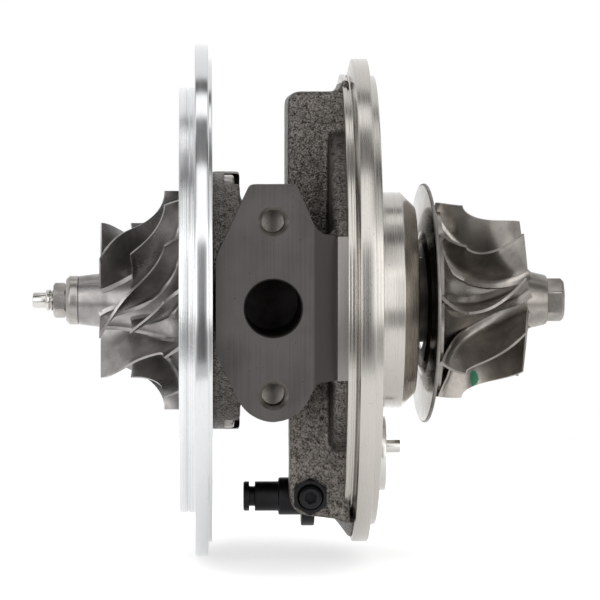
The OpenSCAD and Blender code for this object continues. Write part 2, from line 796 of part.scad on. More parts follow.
module stop_screw() {
    end_y = lug_front_y - stop_nut_h - stop_screw_proud;
    chamfer = 0.4;
    color("black")
        difference() {
            union() {
                rod_y(end_y + chamfer, stop_tip_y, stop_screw_d / 2, stop_x, stop_z);
                translate([stop_x, end_y, stop_z])
                    rotate([-90, 0, 0])
                        cylinder(h = chamfer, r1 = stop_screw_d / 2 - chamfer, r2 = stop_screw_d / 2);
            }
            translate([stop_x, end_y - past, stop_z])
                rotate([-90, 0, 0])
                    cylinder(h = stop_socket_depth + past, r = hex_r(stop_socket_flats), $fn = 6);
        }
}

module stop_screw_nut() {
    color("black")
        difference() {
            translate([stop_x, lug_front_y - stop_nut_h, stop_z])
                rotate([-90, 0, 0])
                    rotate([0, 0, 30])
                        cylinder(h = stop_nut_h, r = hex_r(stop_nut_flats), $fn = 6);
            rod_y(lug_front_y - stop_nut_h - past, lug_front_y + past, stop_screw_d / 2 + seat_fit, stop_x,
                  stop_z);
        }
}

module rotor_shaft() {
    stub = stub_d / 2;
    journal = journal_d / 2;
    boss = boss_d / 2;
    groove = boss - ring_depth;
    relief = journal - 0.4;
    groove_end = x_turb_ring + seal_ring_w + 2 * seal_ring_play;
    x_relief0 = x_bush_comp + bush_len + 1;
    x_relief1 = x_bush_turb - 1;
    color("silver")
        turned([[x_tip, 0], [x_tip, tip_d / 2 - 0.3], [x_tip + 0.3, tip_d / 2], [x_thread_end, tip_d / 2],
                [x_thread_end, stub - 0.4], [x_thread_end + 0.4, stub], [x_journal, stub],
                [x_journal, journal], [x_relief0, journal], [x_relief0 + 0.5, relief],
                [x_relief1 - 0.5, relief], [x_relief1, journal], [boss_start, journal],
                [boss_start, boss - 0.5], [boss_start + 0.5, boss], [x_turb_ring, boss],
                [x_turb_ring, groove], [groove_end, groove], [groove_end, boss], [x_weld_collar, boss],
                [x_weld_collar, weld_collar_r], [x_turb_joint, weld_collar_r], [x_turb_joint, 0]]);
}

module thrust_collar() {
    flange = thrust_collar_d / 2;
    neck = thrust_neck_d / 2;
    color("lightgray")
        turned([[x_collar, stub_bore_r], [x_journal, stub_bore_r], [x_journal, flange],
                [x_pocket + thrust_play, flange], [x_pocket + thrust_play, neck],
                [x_thrust - thrust_play, neck], [x_thrust - thrust_play, flange], [x_collar, flange]]);
}

x_slinger_groove = x_recess + 1.6;
slinger_groove_w = seal_ring_w + 2 * seal_ring_play;
slinger_groove_r = slinger_bore_r - ring_depth - 0.1;

module oil_slinger() {
    neck = thrust_neck_d / 2;
    groove_end = x_slinger_groove + slinger_groove_w;
    disc_end = x_slinger_disc + slinger_disc_t;
    color("lightgray")
        turned([[x_comp_back, stub_bore_r], [x_collar, stub_bore_r], [x_collar, neck], [disc_end, neck],
                [disc_end, slinger_disc_r], [x_slinger_disc, slinger_disc_r], [x_slinger_disc, slinger_r],
                [groove_end, slinger_r], [groove_end, slinger_groove_r], [x_slinger_groove, slinger_groove_r],
                [x_slinger_groove, slinger_r], [x_comp_back, slinger_r]]);
}

// Closed blade through a grid of stations: place gives station, radius and angle of a point of its camber
// surface, half gives half its thickness there, both from the fraction along the blade and up its span
module blade(place, half, steps, spans) {
    row = spans + 1;
    sheet = (steps + 1) * row;
    function at(side, i, j) = side * sheet + i * row + j;
    function quad(a, b, c, d) = [[a, b, c], [a, c, d]];
    points = [for (side = [-1, 1]) for (i = [0 : steps]) for (j = [0 : spans])
                 let (p = place(i / steps, j / spans), turn = side * half(i / steps, j / spans) / p[1])
                     polar(p[0], p[1], p[2] + turn * 180 / PI)];
    sides = [for (i = [0 : steps - 1]) for (j = [0 : spans - 1])
                each concat(quad(at(1, i, j), at(1, i + 1, j), at(1, i + 1, j + 1), at(1, i, j + 1)),
                            quad(at(0, i, j), at(0, i, j + 1), at(0, i + 1, j + 1), at(0, i + 1, j)))];
    ends = [for (j = [0 : spans - 1])
               each concat(quad(at(0, 0, j), at(1, 0, j), at(1, 0, j + 1), at(0, 0, j + 1)),
                           quad(at(0, steps, j), at(0, steps, j + 1), at(1, steps, j + 1), at(1, steps, j)))];
    edges = [for (i = [0 : steps - 1])
                each concat(quad(at(0, i, 0), at(0, i + 1, 0), at(1, i + 1, 0), at(1, i, 0)),
                            quad(at(0, i, spans), at(1, i, spans), at(1, i + 1, spans),
                                 at(0, i + 1, spans)))];
    polyhedron(points, concat(sides, ends, edges));
}

// Compressor wheel: hub and shroud are quarter ellipses, the shroud after a straight inlet
comp_root = 0.6;
comp_tip_r = comp_exducer_d / 2 - 0.15;
comp_inlet_share = 0.4;
comp_wrap = 60;
comp_first_angle = -26.6;

function comp_hub(s) =
    let (r = comp_hub_d / 2)
        [x_comp_edge + comp_blade_len * sin(90 * s),
         comp_exducer_d / 2 - (comp_exducer_d / 2 - r) * cos(90 * s)];
function comp_shroud(s) =
    let (bend = comp_blade_len - comp_outlet_h - comp_splitter_delay,
         rise = comp_tip_r - comp_inducer_d / 2,
         t = 90 * (s - comp_inlet_share) / (1 - comp_inlet_share))
        s < comp_inlet_share
            ? [x_comp_edge + comp_splitter_delay * s / comp_inlet_share, comp_inducer_d / 2]
            : [x_comp_edge + comp_splitter_delay + bend * sin(t), comp_tip_r - rise * cos(t)];
// Turn of the blade at a station: steep at the inlet, then steady to the outlet
function comp_turn(x) =
    let (q = min(1, (x - x_comp_edge) / (comp_blade_len - comp_outlet_h)))
        comp_first_angle + comp_wrap * (q + 0.8 * q * (1 - q) * (1 - q));
function comp_camber(s, t) =
    let (hub = comp_hub(s), tip = comp_shroud(s),
         root = [hub[0] + comp_root * sin(90 * s), min(comp_tip_r, hub[1]) - comp_root * cos(90 * s)])
        [mix(root[0], tip[0], t), mix(root[1], tip[1], t),
         comp_turn(tip[0]) + (1 - t) * mix(-7, 4, s)];
function comp_half(s, t) = mix(comp_blade_t, 0.5 * comp_blade_t, t) / 2;
// Fraction along a full blade of a point of a splitter, whose leading edge stands square to the axis
function splitter_share(s, t) =
    mix(mix(asin(comp_splitter_delay / (comp_blade_len + comp_root)) / 90, comp_inlet_share, t), 1, s);

module compressor_wheel() {
    pitch = 360 / comp_blades;
    hub_steps = 9;
    color("gray")
        difference() {
            union() {
                turned(concat([[x_comp_nose, 0], [x_comp_nose, comp_nose_d / 2]],
                              [for (i = [0 : hub_steps]) comp_hub(i / hub_steps)],
                              [[x_comp_back, comp_exducer_d / 2], [x_comp_back, 0]]));
                for (i = [0 : comp_blades - 1])
                    rotate([-i * pitch, 0, 0]) {
                        blade(function(s, t) comp_camber(s, t), function(s, t) comp_half(s, t), 8, 2);
                        rotate([-pitch / 2, 0, 0])
                            blade(function(s, t) comp_camber(splitter_share(s, t), t),
                                  function(s, t) comp_half(s, t), 5, 2);
                    }
            }
            rod_x(x_comp_nose - past, x_comp_back + past, stub_bore_r);
        }
}

// Turbine wheel: radial blades, bent round at the outlet
turb_root = 0.7;
turb_first_angle = 2;
turb_bend = [-8, 28];
turb_hex_turn = -22.7;

function turb_hub(s, rim) =
    [x_turb_hub + turb_hub_len * (1 - cos(90 * s)),
     turb_hub_d / 2 + (rim - turb_hub_d / 2) * (1 - sin(90 * s))];
function turb_shroud(s) =
    let (r = turb_exducer_d / 2)
        [x_turb_hub + turb_inlet_w + turb_shroud_len * (1 - cos(90 * s)),
         r + (turb_tip_d / 2 - r) * (1 - sin(90 * s))];
function turb_turn(x) =
    let (u = (x - x_turb_hub - turb_inlet_w - 1.5) / (turb_shroud_len - 0.5),
         v = (x - x_turb_hub - turb_inlet_w - 1.5) / (turb_inlet_w + 1.5))
        turb_first_angle + turb_bend[0] + (u > 0 ? turb_bend[1] * u * u : -turb_bend[0] * v * v);
function turb_camber(s, t) =
    let (hub = turb_hub(s, turb_tip_d / 2), tip = turb_shroud(s),
         root = [hub[0] - turb_root * cos(90 * s), hub[1] - turb_root * sin(90 * s)],
         x = mix(root[0], tip[0], t))
        [x, mix(root[1], tip[1], t), turb_turn(x)];
function turb_half(s, t) = mix(turb_blade_t, 0.55 * turb_blade_t, t) / 2;

module turbine_wheel() {
    hub_steps = 8;
    nose_end_r = turb_hub_d / 2 - 0.9;
    color("dimgray")
        union() {
            turned(concat([[x_turb_joint, 0], [x_turb_joint, weld_collar_r],
                           [x_turb_disc, weld_collar_r + 0.8], [x_turb_disc, turb_disc_d / 2]],
                          [for (i = [0 : hub_steps]) turb_hub(i / hub_steps, turb_disc_d / 2)],
                          [[x_turb_hex - 0.4, nose_end_r], [x_turb_hex, nose_end_r - 0.6], [x_turb_hex, 0]]));
            for (i = [0 : turb_blades - 1])
                rotate([-i * 360 / turb_blades, 0, 0])
                    blade(function(s, t) turb_camber(s, t), function(s, t) turb_half(s, t), 8, 2);
            intersection() {
                hex_x(x_turb_hex - past, x_turb_end, turb_hex_flats, turb_hex_turn);
                turned([[x_turb_hex - past, 0], [x_turb_hex - past, turb_hex_flats],
                        [x_turb_end - 0.5, hex_r(turb_hex_flats)], [x_turb_end, turb_hex_flats / 2],
                        [x_turb_end, 0]]);
            }
        }
}

module compressor_nut() {
    collar = nut_collar_d / 2;
    corner = hex_r(nut_flats);
    color("silver")
        difference() {
            union() {
                intersection() {
                    hex_x(x_nut_end, x_nut_hex + past, nut_flats);
                    turned([[x_nut_end, 0], [x_nut_end, nut_flats / 2], [x_nut_end + 0.5, corner],
                            [x_nut_hex + past, corner], [x_nut_hex + past, 0]]);
                }
                turned([[x_nut_hex, 0], [x_nut_hex, collar - 0.9], [x_nut_hex + 0.9, collar],
                        [x_comp_nose, collar], [x_comp_nose, 0]]);
            }
            rod_x(x_nut_end - past, x_comp_nose + past, stub_bore_r);
        }
}

// Floating bush with oil holes round its middle
module floating_bush(x) {
    holes = 6;
    difference() {
        ring(x, x + bush_len, journal_d / 2 + journal_fit, bore_r - bush_fit);
        for (i = [0 : holes / 2 - 1])
            rotate([i * 360 / holes, 0, 0])
                translate([x + bush_len / 2, 0, -bore_r])
                    cylinder(h = 2 * bore_r, r = 0.8);
    }
}

module journal_bearing_compressor() {
    color("darkgoldenrod")
        floating_bush(x_bush_comp);
}

module journal_bearing_turbine() {
    color("darkgoldenrod")
        floating_bush(x_bush_turb);
}

module vane_crank() {
    color("gray")
        difference() {
            union() {
                rod_x(x_lever - 0.6, x_lever_back, rivet_r, crank_y, crank_z);
                rod_x(x_lever_back, x_disc + thin_wall, spindle_d / 2, crank_y, crank_z);
                rod_x(x_disc, x_disc + crank_disc_t, crank_disc_d / 2, crank_y, crank_z);
            }
            rod_x(x_disc + thin_wall / 2, x_disc + crank_disc_t + past, crank_shank_r + seat_fit, crank_pin_y,
                  crank_pin_z);
        }
}

// Eccentric pin with a thinner shank that is pressed into the disc
module vane_crank_pin() {
    shank = x_disc + thin_wall / 2;
    shoulder = x_disc + crank_disc_t;
    end = shoulder + crank_pin_h;
    color("silver")
        translate([0, crank_pin_y, crank_pin_z])
            turned([[shank, 0], [shank, crank_shank_r], [shoulder, crank_shank_r],
                    [shoulder, crank_pin_d / 2], [end, crank_pin_d / 2], [end, 0]]);
}

// Lever plate: two round ends and straight sides just inside their common tangents
module actuator_lever() {
    hub = lever_hub_d / 2;
    tip = lever_end_d / 2;
    inset = 0.1;
    color("black")
        difference() {
            union() {
                rod_x(x_lever, x_lever_back, hub, crank_y, crank_z);
                rod_x(x_lever, x_lever_back, tip, pin_y, pin_z);
                along(x_lever, x_lever_back)
                    translate([crank_y, crank_z])
                        rotate(270 - lever_turn)
                            polygon([[0, hub - inset], [lever_len, tip - inset], [lever_len, inset - tip],
                                     [0, inset - hub]]);
            }
            rod_x(x_lever - past, x_lever_back + past, rivet_r + seat_fit, crank_y, crank_z);
            rod_x(x_lever - past, x_lever_back + past, rivet_r + seat_fit, pin_y, pin_z);
        }
}

module actuator_pin() {
    color("black")
        translate([0, pin_y, pin_z])
            turned([[x_pin_end, 0], [x_pin_end, pin_d / 2 - 0.3], [x_pin_end + 0.3, pin_d / 2],
                    [x_pin_head, pin_d / 2], [x_pin_head, pin_groove_d / 2], [x_pin_body, pin_groove_d / 2],
                    [x_pin_body, pin_d / 2], [x_pin_collar, pin_d / 2], [x_pin_collar, pin_collar_d / 2],
                    [x_lever, pin_collar_d / 2], [x_lever, rivet_r], [x_lever_back, rivet_r],
                    [x_lever_back, 0]]);
}

bearing_housing();
seal_plate();
seal_plate_screws();
seal_plate_o_ring();
thrust_bearing();
thrust_bearing_pins();
oil_deflector();
compressor_seal_ring();
turbine_seal_ring();
bearing_circlips();
heat_shield();
crank_bushing();
stop_screw();
stop_screw_nut();
rotor_shaft();
turbine_wheel();
thrust_collar();
oil_slinger();
compressor_wheel();
compressor_nut();
journal_bearing_compressor();
journal_bearing_turbine();
vane_crank();
vane_crank_pin();
actuator_lever();
actuator_pin();
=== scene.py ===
"""Looks of a turbocharger cartridge: its casting, its two wheels and its turned and black steel parts.

Sizes are millimetres in the drawing's frame: X along the rotor towards the turbine, Z up, the drain at -Y.
Each piece is modelled in millimetres and scaled to metres when it is finished.
"""

import logging
import math
from collections.abc import Callable, Iterator
from contextlib import contextmanager
from dataclasses import dataclass
from enum import Enum

import bpy
from mathutils import Matrix, Vector


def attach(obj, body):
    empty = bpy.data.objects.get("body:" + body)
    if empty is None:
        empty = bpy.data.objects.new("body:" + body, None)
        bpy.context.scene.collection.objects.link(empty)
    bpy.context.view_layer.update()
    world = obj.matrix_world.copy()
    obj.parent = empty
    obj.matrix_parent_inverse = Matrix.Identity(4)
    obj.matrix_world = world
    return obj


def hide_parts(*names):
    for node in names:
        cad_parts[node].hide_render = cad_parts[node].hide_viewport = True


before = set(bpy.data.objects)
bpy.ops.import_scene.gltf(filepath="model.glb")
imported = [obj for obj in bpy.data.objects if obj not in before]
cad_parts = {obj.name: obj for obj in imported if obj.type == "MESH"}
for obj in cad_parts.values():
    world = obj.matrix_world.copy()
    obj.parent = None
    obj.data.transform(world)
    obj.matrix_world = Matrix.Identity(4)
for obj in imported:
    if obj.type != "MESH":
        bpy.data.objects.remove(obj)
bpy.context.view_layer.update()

LOG = logging.getLogger("cartridge")

MM = 0.001
WELD = 0.001
TURN_STEPS = 128
ARC_STEPS = 6
SMOOTH_ANGLE = math.radians(32)

Profile = list[tuple[float, float]]
Corners = list[tuple[float, float, float]]
Stops = tuple[tuple[float, float], ...]

# Y and Z of the crank's axis
CRANK_AT = (3.0, -35.2)
# X and Z of the stop screw's axis, and Y of the wall that its lock nut sits on
STOP_AT = (25.4, -42.392)
STOP_WALL = -25.98
# Station of the seats of the seal plate's screws
SCREW_SEAT = 6.6
# Play between a screw or a spindle and its hole, on the radius
PLAY = 0.02


class Axis(Enum):
    """Direction that a turned piece, a rod or an outline runs along."""

    X = "X"
    Y = "Y"


class Operation(Enum):
    """Way in which two solids are combined."""

    ADD = "UNION"
    CUT = "DIFFERENCE"
    KEEP = "INTERSECT"


class Body(Enum):
    """Bodies of the cartridge that move on their own."""

    HOUSING = "housing"
    ROTOR = "rotor"
    CRANK = "crank"


def linear(code: str) -> tuple[float, float, float, float]:
    """Turns an sRGB hex colour into linear light.

    Args:
        code: colour as six hex digits after a hash.

    Returns:
        Red, green, blue and a full alpha.
    """
    shares = [int(code[i:i + 2], 16) / 255 for i in (1, 3, 5)]
    red, green, blue = [s / 12.92 if s <= 0.04045 else ((s + 0.055) / 1.055) ** 2.4 for s in shares]
    return red, green, blue, 1.0


def per_mm(size: float) -> float:
    """Gives the texture scale whose features have a size in millimetres."""
    return 1 / (size * MM)


def mix(a: float, b: float, share: float) -> float:
    """Gives the value a share of the way from a to b."""
    return a + (b - a) * share


def feed(tree: bpy.types.NodeTree, node: bpy.types.Node, inputs: dict[str | int, object]) -> None:
    """Sets or links the inputs of a node.

    Args:
        tree: tree that holds the node.
        node: node to feed.
        inputs: a value, or an output to link, for each named or numbered input.
    """
    for socket, value in inputs.items():
        if isinstance(value, bpy.types.NodeSocket):
            tree.links.new(value, node.inputs[socket])
        else:
            node.inputs[socket].default_value = value


def add_node(tree: bpy.types.NodeTree, kind: str, inputs: dict[str | int, object],
             **settings: object) -> bpy.types.Node:
    """Adds a node with its settings and links.

    Args:
        tree: tree that gets the node.
        kind: Blender's name of the kind of node.
        inputs: a value, or an output to link, for each input that is used.
        settings: properties of the node.

    Returns:
        The new node.
    """
    node = tree.nodes.new(kind)
    for name, value in settings.items():
        setattr(node, name, value)
    feed(tree, node, inputs)
    return node


@dataclass(frozen=True)
class Finish:
    """Surface with a colour, a darker shade that it varies to, and a gloss."""

    name: str
    colour: str
    shade: str
    roughness: float
    metallic: float = 1.0
    ior: float = 1.5

    def material(self) -> bpy.types.Material:
        """Gives the material of this finish, made when it is first asked for."""
        found = bpy.data.materials.get(self.name)
        if found:
            return found
        made = bpy.data.materials.new(self.name)
        made.use_nodes = True
        tree = made.node_tree
        shader = tree.nodes["Principled BSDF"]
        feed(tree, shader, {"Metallic": self.metallic, "IOR": self.ior})
        place = add_node(tree, "ShaderNodeTexCoord", {}).outputs["Object"]
        self.dress(tree, shader, place)
        return made

    def dress(self, tree: bpy.types.NodeTree, shader: bpy.types.Node, place: bpy.types.NodeSocket) -> None:
        """Adds the pattern of the surface.

        Args:
            tree: node tree of the material.
            shader: its surface shader.
            place: Object coordinates in metres.
        """
        raise NotImplementedError

    def tone(self, tree: bpy.types.NodeTree, share: bpy.types.NodeSocket) -> bpy.types.NodeSocket:
        """Gives the colour that a pattern mixes from the shade to the colour."""
        inputs = {0: share, 6: linear(self.shade), 7: linear(self.colour)}
        return add_node(tree, "ShaderNodeMix", inputs, data_type="RGBA").outputs[2]


@dataclass(frozen=True)
class SandCastIron(Finish):
    """Grey iron cast in sand: a skin of fine grains that glint; its colour follows the grains, partly their
    own tone and partly a painted glint on their tops and painted shade in the hollows between them.
    """

    grain: float = 0.38
    lump: float = 1.2
    lump_share: float = 0.5
    depth: float = 0.15

    def dress(self, tree: bpy.types.NodeTree, shader: bpy.types.Node, place: bpy.types.NodeSocket) -> None:
        """Adds grains and low lumps, with the colour painted lighter on their tops and darker in the hollows.
        """
        grain = add_node(tree, "ShaderNodeTexNoise", {
            "Vector": place, "Scale": per_mm(self.grain), "Detail": 2.0, "Roughness": 0.55})
        lump = add_node(tree, "ShaderNodeTexNoise", {
            "Vector": place, "Scale": per_mm(self.lump), "Detail": 2.0, "Roughness": 0.5})
        height = add_node(tree, "ShaderNodeMath", {
            0: lump.outputs["Fac"], 1: self.lump_share, 2: grain.outputs["Fac"]}, operation="MULTIPLY_ADD")
        # painted glint and shade: the colour runs from the dark shade in the hollows to the light colour on
        # the grain tops
        share = add_node(tree, "ShaderNodeMapRange", {
            "Value": height.outputs[0], "From Min": 0.55, "From Max": 0.95})
        gloss = add_node(tree, "ShaderNodeMapRange", {
            "Value": grain.outputs["Fac"], "From Min": 0.3, "From Max": 0.7,
            "To Min": self.roughness + 0.14, "To Max": self.roughness - 0.06})
        bump = add_node(tree, "ShaderNodeBump", {
            "Height": height.outputs[0], "Strength": 1.0, "Distance": self.depth * MM})
        feed(tree, shader, {"Base Color": self.tone(tree, share.outputs[0]), "Roughness": gloss.outputs[0],
                            "Normal": bump.outputs[0]})


@dataclass(frozen=True)
class Turned(Finish):
    """Metal turned on a lathe: fine rings round the rotor axis, the metal's grain and a few small pits."""

    # A lathe leaves finer rings than this: they are drawn as coarse as they need to be to show
    line: float = 0.22
    depth: float = 0.006
    gloss_swing: float = 0.1
    grain: float = 0.3
    grain_share: float = 0.2

    def dress(self, tree: bpy.types.NodeTree, shader: bpy.types.Node, place: bpy.types.NodeSocket) -> None:
        """Adds rings that depend on the station and the radius alone, then grain and pits."""
        parts = add_node(tree, "ShaderNodeSeparateXYZ", {0: place})
        across = add_node(tree, "ShaderNodeCombineXYZ", {"Y": parts.outputs["Y"], "Z": parts.outputs["Z"]})
        radius = add_node(tree, "ShaderNodeVectorMath", {0: across.outputs[0]}, operation="LENGTH")
        ring = add_node(tree, "ShaderNodeCombineXYZ", {"X": parts.outputs["X"], "Y": radius.outputs["Value"]})
        lines = add_node(tree, "ShaderNodeTexNoise", {
            "Vector": ring.outputs[0], "Scale": per_mm(self.line), "Detail": 2.0, "Roughness": 0.7},
            noise_dimensions="2D")
        grain = add_node(tree, "ShaderNodeTexNoise", {
            "Vector": place, "Scale": per_mm(self.grain), "Detail": 2.0, "Roughness": 0.5})
        pits = add_node(tree, "ShaderNodeMapRange", {
            "Value": grain.outputs["Fac"], "From Min": 0.22, "From Max": 0.34})
        height = add_node(tree, "ShaderNodeMath", {
            0: grain.outputs["Fac"], 1: self.grain_share, 2: lines.outputs["Fac"]}, operation="MULTIPLY_ADD")
        gloss = add_node(tree, "ShaderNodeMapRange", {
            "Value": lines.outputs["Fac"], "From Min": 0.3, "From Max": 0.7,
            "To Min": self.roughness + self.gloss_swing, "To Max": self.roughness - self.gloss_swing / 2})
        bump = add_node(tree, "ShaderNodeBump", {
            "Height": height.outputs[0], "Strength": 1.0, "Distance": self.depth * MM})
        feed(tree, shader, {"Base Color": self.tone(tree, pits.outputs[0]), "Roughness": gloss.outputs[0],
                            "Normal": bump.outputs[0]})


@dataclass(frozen=True)
class Milled(Finish):
    """Iron face milled flat, with faint vertical tool lines, open pores of the casting and painted shade next
    to the step's wall.
    """

    line: float = 0.5
    line_share: float = 0.35
    line_stretch: float = 0.012
    drift: float = 11.0
    pore: float = 0.6
    depth: float = 0.004
    # station past which the face is painted darker, as shade from the step's wall
    painted_shade_from: float = 25.7
    blend: float = 0.3

    def dress(self, tree: bpy.types.NodeTree, shader: bpy.types.Node, place: bpy.types.NodeSocket) -> None:
        """Adds faint tool lines along Z, a slow drift of the gloss and pores, and painted shade past a
        station near the step's wall.
        """
        stretch = add_node(tree, "ShaderNodeMapping", {
            "Vector": place, "Scale": (1.0, 1.0, self.line_stretch)})
        lines = add_node(tree, "ShaderNodeTexNoise", {
            "Vector": stretch.outputs[0], "Scale": per_mm(self.line), "Detail": 2.0, "Roughness": 0.6})
        drift = add_node(tree, "ShaderNodeTexNoise", {
            "Vector": place, "Scale": per_mm(self.drift), "Detail": 2.0, "Roughness": 0.5})
        pore = add_node(tree, "ShaderNodeTexNoise", {
            "Vector": place, "Scale": per_mm(self.pore), "Detail": 1.0})
        pores = add_node(tree, "ShaderNodeMapRange", {
            "Value": pore.outputs["Fac"], "From Min": 0.2, "From Max": 0.27})
        both = add_node(tree, "ShaderNodeMath", {
            0: lines.outputs["Fac"], 1: self.line_share, 2: drift.outputs["Fac"]}, operation="MULTIPLY_ADD")
        worn = add_node(tree, "ShaderNodeMapRange", {
            "Value": both.outputs[0], "From Min": 0.3, "From Max": 0.8})
        parts = add_node(tree, "ShaderNodeSeparateXYZ", {0: place})
        # painted shade: past the station the colour falls towards the shade, where the step's wall beside the
        # drain face shades it
        again = add_node(tree, "ShaderNodeMapRange", {
            "Value": parts.outputs["X"], "From Min": (self.painted_shade_from - self.blend) * MM,
            "From Max": (self.painted_shade_from + self.blend) * MM, "To Min": 1.0, "To Max": 0.2})
        worn_and_shaded = add_node(tree, "ShaderNodeMath", {
            0: worn.outputs[0], 1: again.outputs[0]}, operation="MULTIPLY")
        share = add_node(tree, "ShaderNodeMath", {
            0: pores.outputs[0], 1: worn_and_shaded.outputs[0]}, operation="MINIMUM")
        gloss = add_node(tree, "ShaderNodeMapRange", {
            "Value": both.outputs[0], "From Min": 0.4, "From Max": 0.95,
            "To Min": self.roughness + 0.06, "To Max": self.roughness - 0.04})
        bump = add_node(tree, "ShaderNodeBump", {
            "Height": lines.outputs["Fac"], "Strength": 1.0, "Distance": self.depth * MM})
        feed(tree, shader, {"Base Color": self.tone(tree, share.outputs[0]), "Roughness": gloss.outputs[0],
                            "Normal": bump.outputs[0]})


@dataclass(frozen=True)
class FineCast(Finish):
    """Wheel alloy cast in a smooth mould: satin, with a fine skin and cloudy patches."""

    # The mould leaves a finer grain than this: it is drawn as coarse as it needs to be to show
    grain: float = 0.3
    cloud: float = 6.0
    depth: float = 0.012

    def dress(self, tree: bpy.types.NodeTree, shader: bpy.types.Node, place: bpy.types.NodeSocket) -> None:
        """Adds the fine skin and the clouds."""
        grain = add_node(tree, "ShaderNodeTexNoise", {
            "Vector": place, "Scale": per_mm(self.grain), "Detail": 2.0, "Roughness": 0.6})
        cloud = add_node(tree, "ShaderNodeTexNoise", {
            "Vector": place, "Scale": per_mm(self.cloud), "Detail": 4.0, "Roughness": 0.6})
        share = add_node(tree, "ShaderNodeMapRange", {
            "Value": cloud.outputs["Fac"], "From Min": 0.3, "From Max": 0.65})
        gloss = add_node(tree, "ShaderNodeMapRange", {
            "Value": cloud.outputs["Fac"], "From Min": 0.3, "From Max": 0.7,
            "To Min": self.roughness + 0.08, "To Max": self.roughness - 0.06})
        bump = add_node(tree, "ShaderNodeBump", {
            "Height": grain.outputs["Fac"], "Strength": 1.0, "Distance": self.depth * MM})
        colour = self.mark(tree, shader, place, self.tone(tree, share.outputs[0]))
        feed(tree, shader, {"Base Color": colour, "Roughness": gloss.outputs[0], "Normal": bump.outputs[0]})

    def mark(self, tree: bpy.types.NodeTree, shader: bpy.types.Node, place: bpy.types.NodeSocket,
             colour: bpy.types.NodeSocket) -> bpy.types.NodeSocket:
        """Gives the colour as it is; a marked wheel paints its mark over it."""
        return colour


@dataclass(frozen=True)
class MarkedCast(FineCast):
    """Fine cast alloy with the balancer's dab of paint on one blade."""

    paint: str = "#14684a"
    dab_at: tuple[float, float, float] = (63.45, -1.4, -17.6)
    dab_reach: tuple[float, float, float] = (1.2, 5.0, 2.1)
    ragged: float = 0.7

    def mark(self, tree: bpy.types.NodeTree, shader: bpy.types.Node, place: bpy.types.NodeSocket,
             colour: bpy.types.NodeSocket) -> bpy.types.NodeSocket:
        """Paints the dab, an ellipsoid of green with a ragged edge, and makes it no metal."""
        shrink = tuple(1 / (reach * MM) for reach in self.dab_reach)
        shift = tuple(-at / reach for at, reach in zip(self.dab_at, self.dab_reach))
        local = add_node(tree, "ShaderNodeMapping", {"Vector": place, "Scale": shrink, "Location": shift})
        span = add_node(tree, "ShaderNodeVectorMath", {0: local.outputs[0]}, operation="LENGTH")
        ragged = add_node(tree, "ShaderNodeTexNoise", {"Vector": place, "Scale": per_mm(self.ragged)})
        edge = add_node(tree, "ShaderNodeMath", {
            0: ragged.outputs["Fac"], 1: span.outputs["Value"]}, operation="ADD")
        bare = add_node(tree, "ShaderNodeMapRange", {
            "Value": edge.outputs[0], "From Min": 1.2, "From Max": 1.45})
        feed(tree, shader, {"Metallic": bare.outputs[0]})
        inputs = {0: bare.outputs[0], 6: linear(self.paint), 7: colour}
        return add_node(tree, "ShaderNodeMix", inputs, data_type="RGBA").outputs[2]


@dataclass(frozen=True)
class SmoothSkin(Finish):
    """Even skin, such as polished sheet, black oxide or rubber: faint handling marks in the gloss."""

    smear: float = 7.0
    # The real skins are finer than this: the grain is drawn as coarse as it needs to be to show
    grain: float = 0.25
    depth: float = 0.003

    def dress(self, tree: bpy.types.NodeTree, shader: bpy.types.Node, place: bpy.types.NodeSocket) -> None:
        """Adds handling marks and a very fine grain."""
        smear = add_node(tree, "ShaderNodeTexNoise", {
            "Vector": place, "Scale": per_mm(self.smear), "Detail": 5.0, "Roughness": 0.65})
        grain = add_node(tree, "ShaderNodeTexNoise", {
            "Vector": place, "Scale": per_mm(self.grain), "Detail": 2.0})
        share = add_node(tree, "ShaderNodeMapRange", {
            "Value": smear.outputs["Fac"], "From Min": 0.3, "From Max": 0.6})
        gloss = add_node(tree, "ShaderNodeMapRange", {
            "Value": smear.outputs["Fac"], "From Min": 0.3, "From Max": 0.7,
            "To Min": self.roughness * 1.3, "To Max": self.roughness * 0.85})
        bump = add_node(tree, "ShaderNodeBump", {
            "Height": grain.outputs["Fac"], "Strength": 1.0, "Distance": self.depth * MM})
        feed(tree, shader, {"Base Color": self.tone(tree, share.outputs[0]), "Roughness": gloss.outputs[0],
                            "Normal": bump.outputs[0]})


@dataclass(frozen=True)
class LitBoard(SmoothSkin):
    """White board that is lit through from below, so that it holds only faint shadows."""

    glow: float = 0.58

    def dress(self, tree: bpy.types.NodeTree, shader: bpy.types.Node, place: bpy.types.NodeSocket) -> None:
        """Adds the even glow to a smooth skin."""
        super().dress(tree, shader, place)
        feed(tree, shader, {"Emission Color": (1.0, 1.0, 1.0, 1.0), "Emission Strength": self.glow})


# Grey iron as it left the sand: dark, a little warm, glinting on its grains, with painted glints on the grain
# tops and painted shade in the hollows
CAST_IRON = SandCastIron("sand_cast_grey_iron", "#7d7873", "#2a2724", 0.37, 0.9)
# The same iron milled flat: even mid grey with faint tool lines, and painted shade towards the step beside
# the drain face
MILLED_IRON = Milled("milled_grey_iron", "#696665", "#464342", 0.36)
# The same iron turned: satin, lighter, with fine rings
TURNED_IRON = Turned("turned_grey_iron", "#bcb8b2", "#827e78", 0.2, grain_share=0.7)
# Step beside the drain face: the turned iron made duller and coloured darker, the darker colour being painted
# shade
SHADED_STEP_IRON = Turned("shaded_dull_turned_iron", "#878380", "#646160", 0.34, grain_share=0.7)
# Bore left by a drill, a little rough
DRILLED_IRON = Turned("drilled_grey_iron", "#7f7b76", "#57534e", 0.34)
# Drain bore, coloured much darker than the rest of the iron
DARK_BORE_IRON = SmoothSkin("dark_bore_iron", "#33302e", "#1f1d1c", 0.4, 0.7)
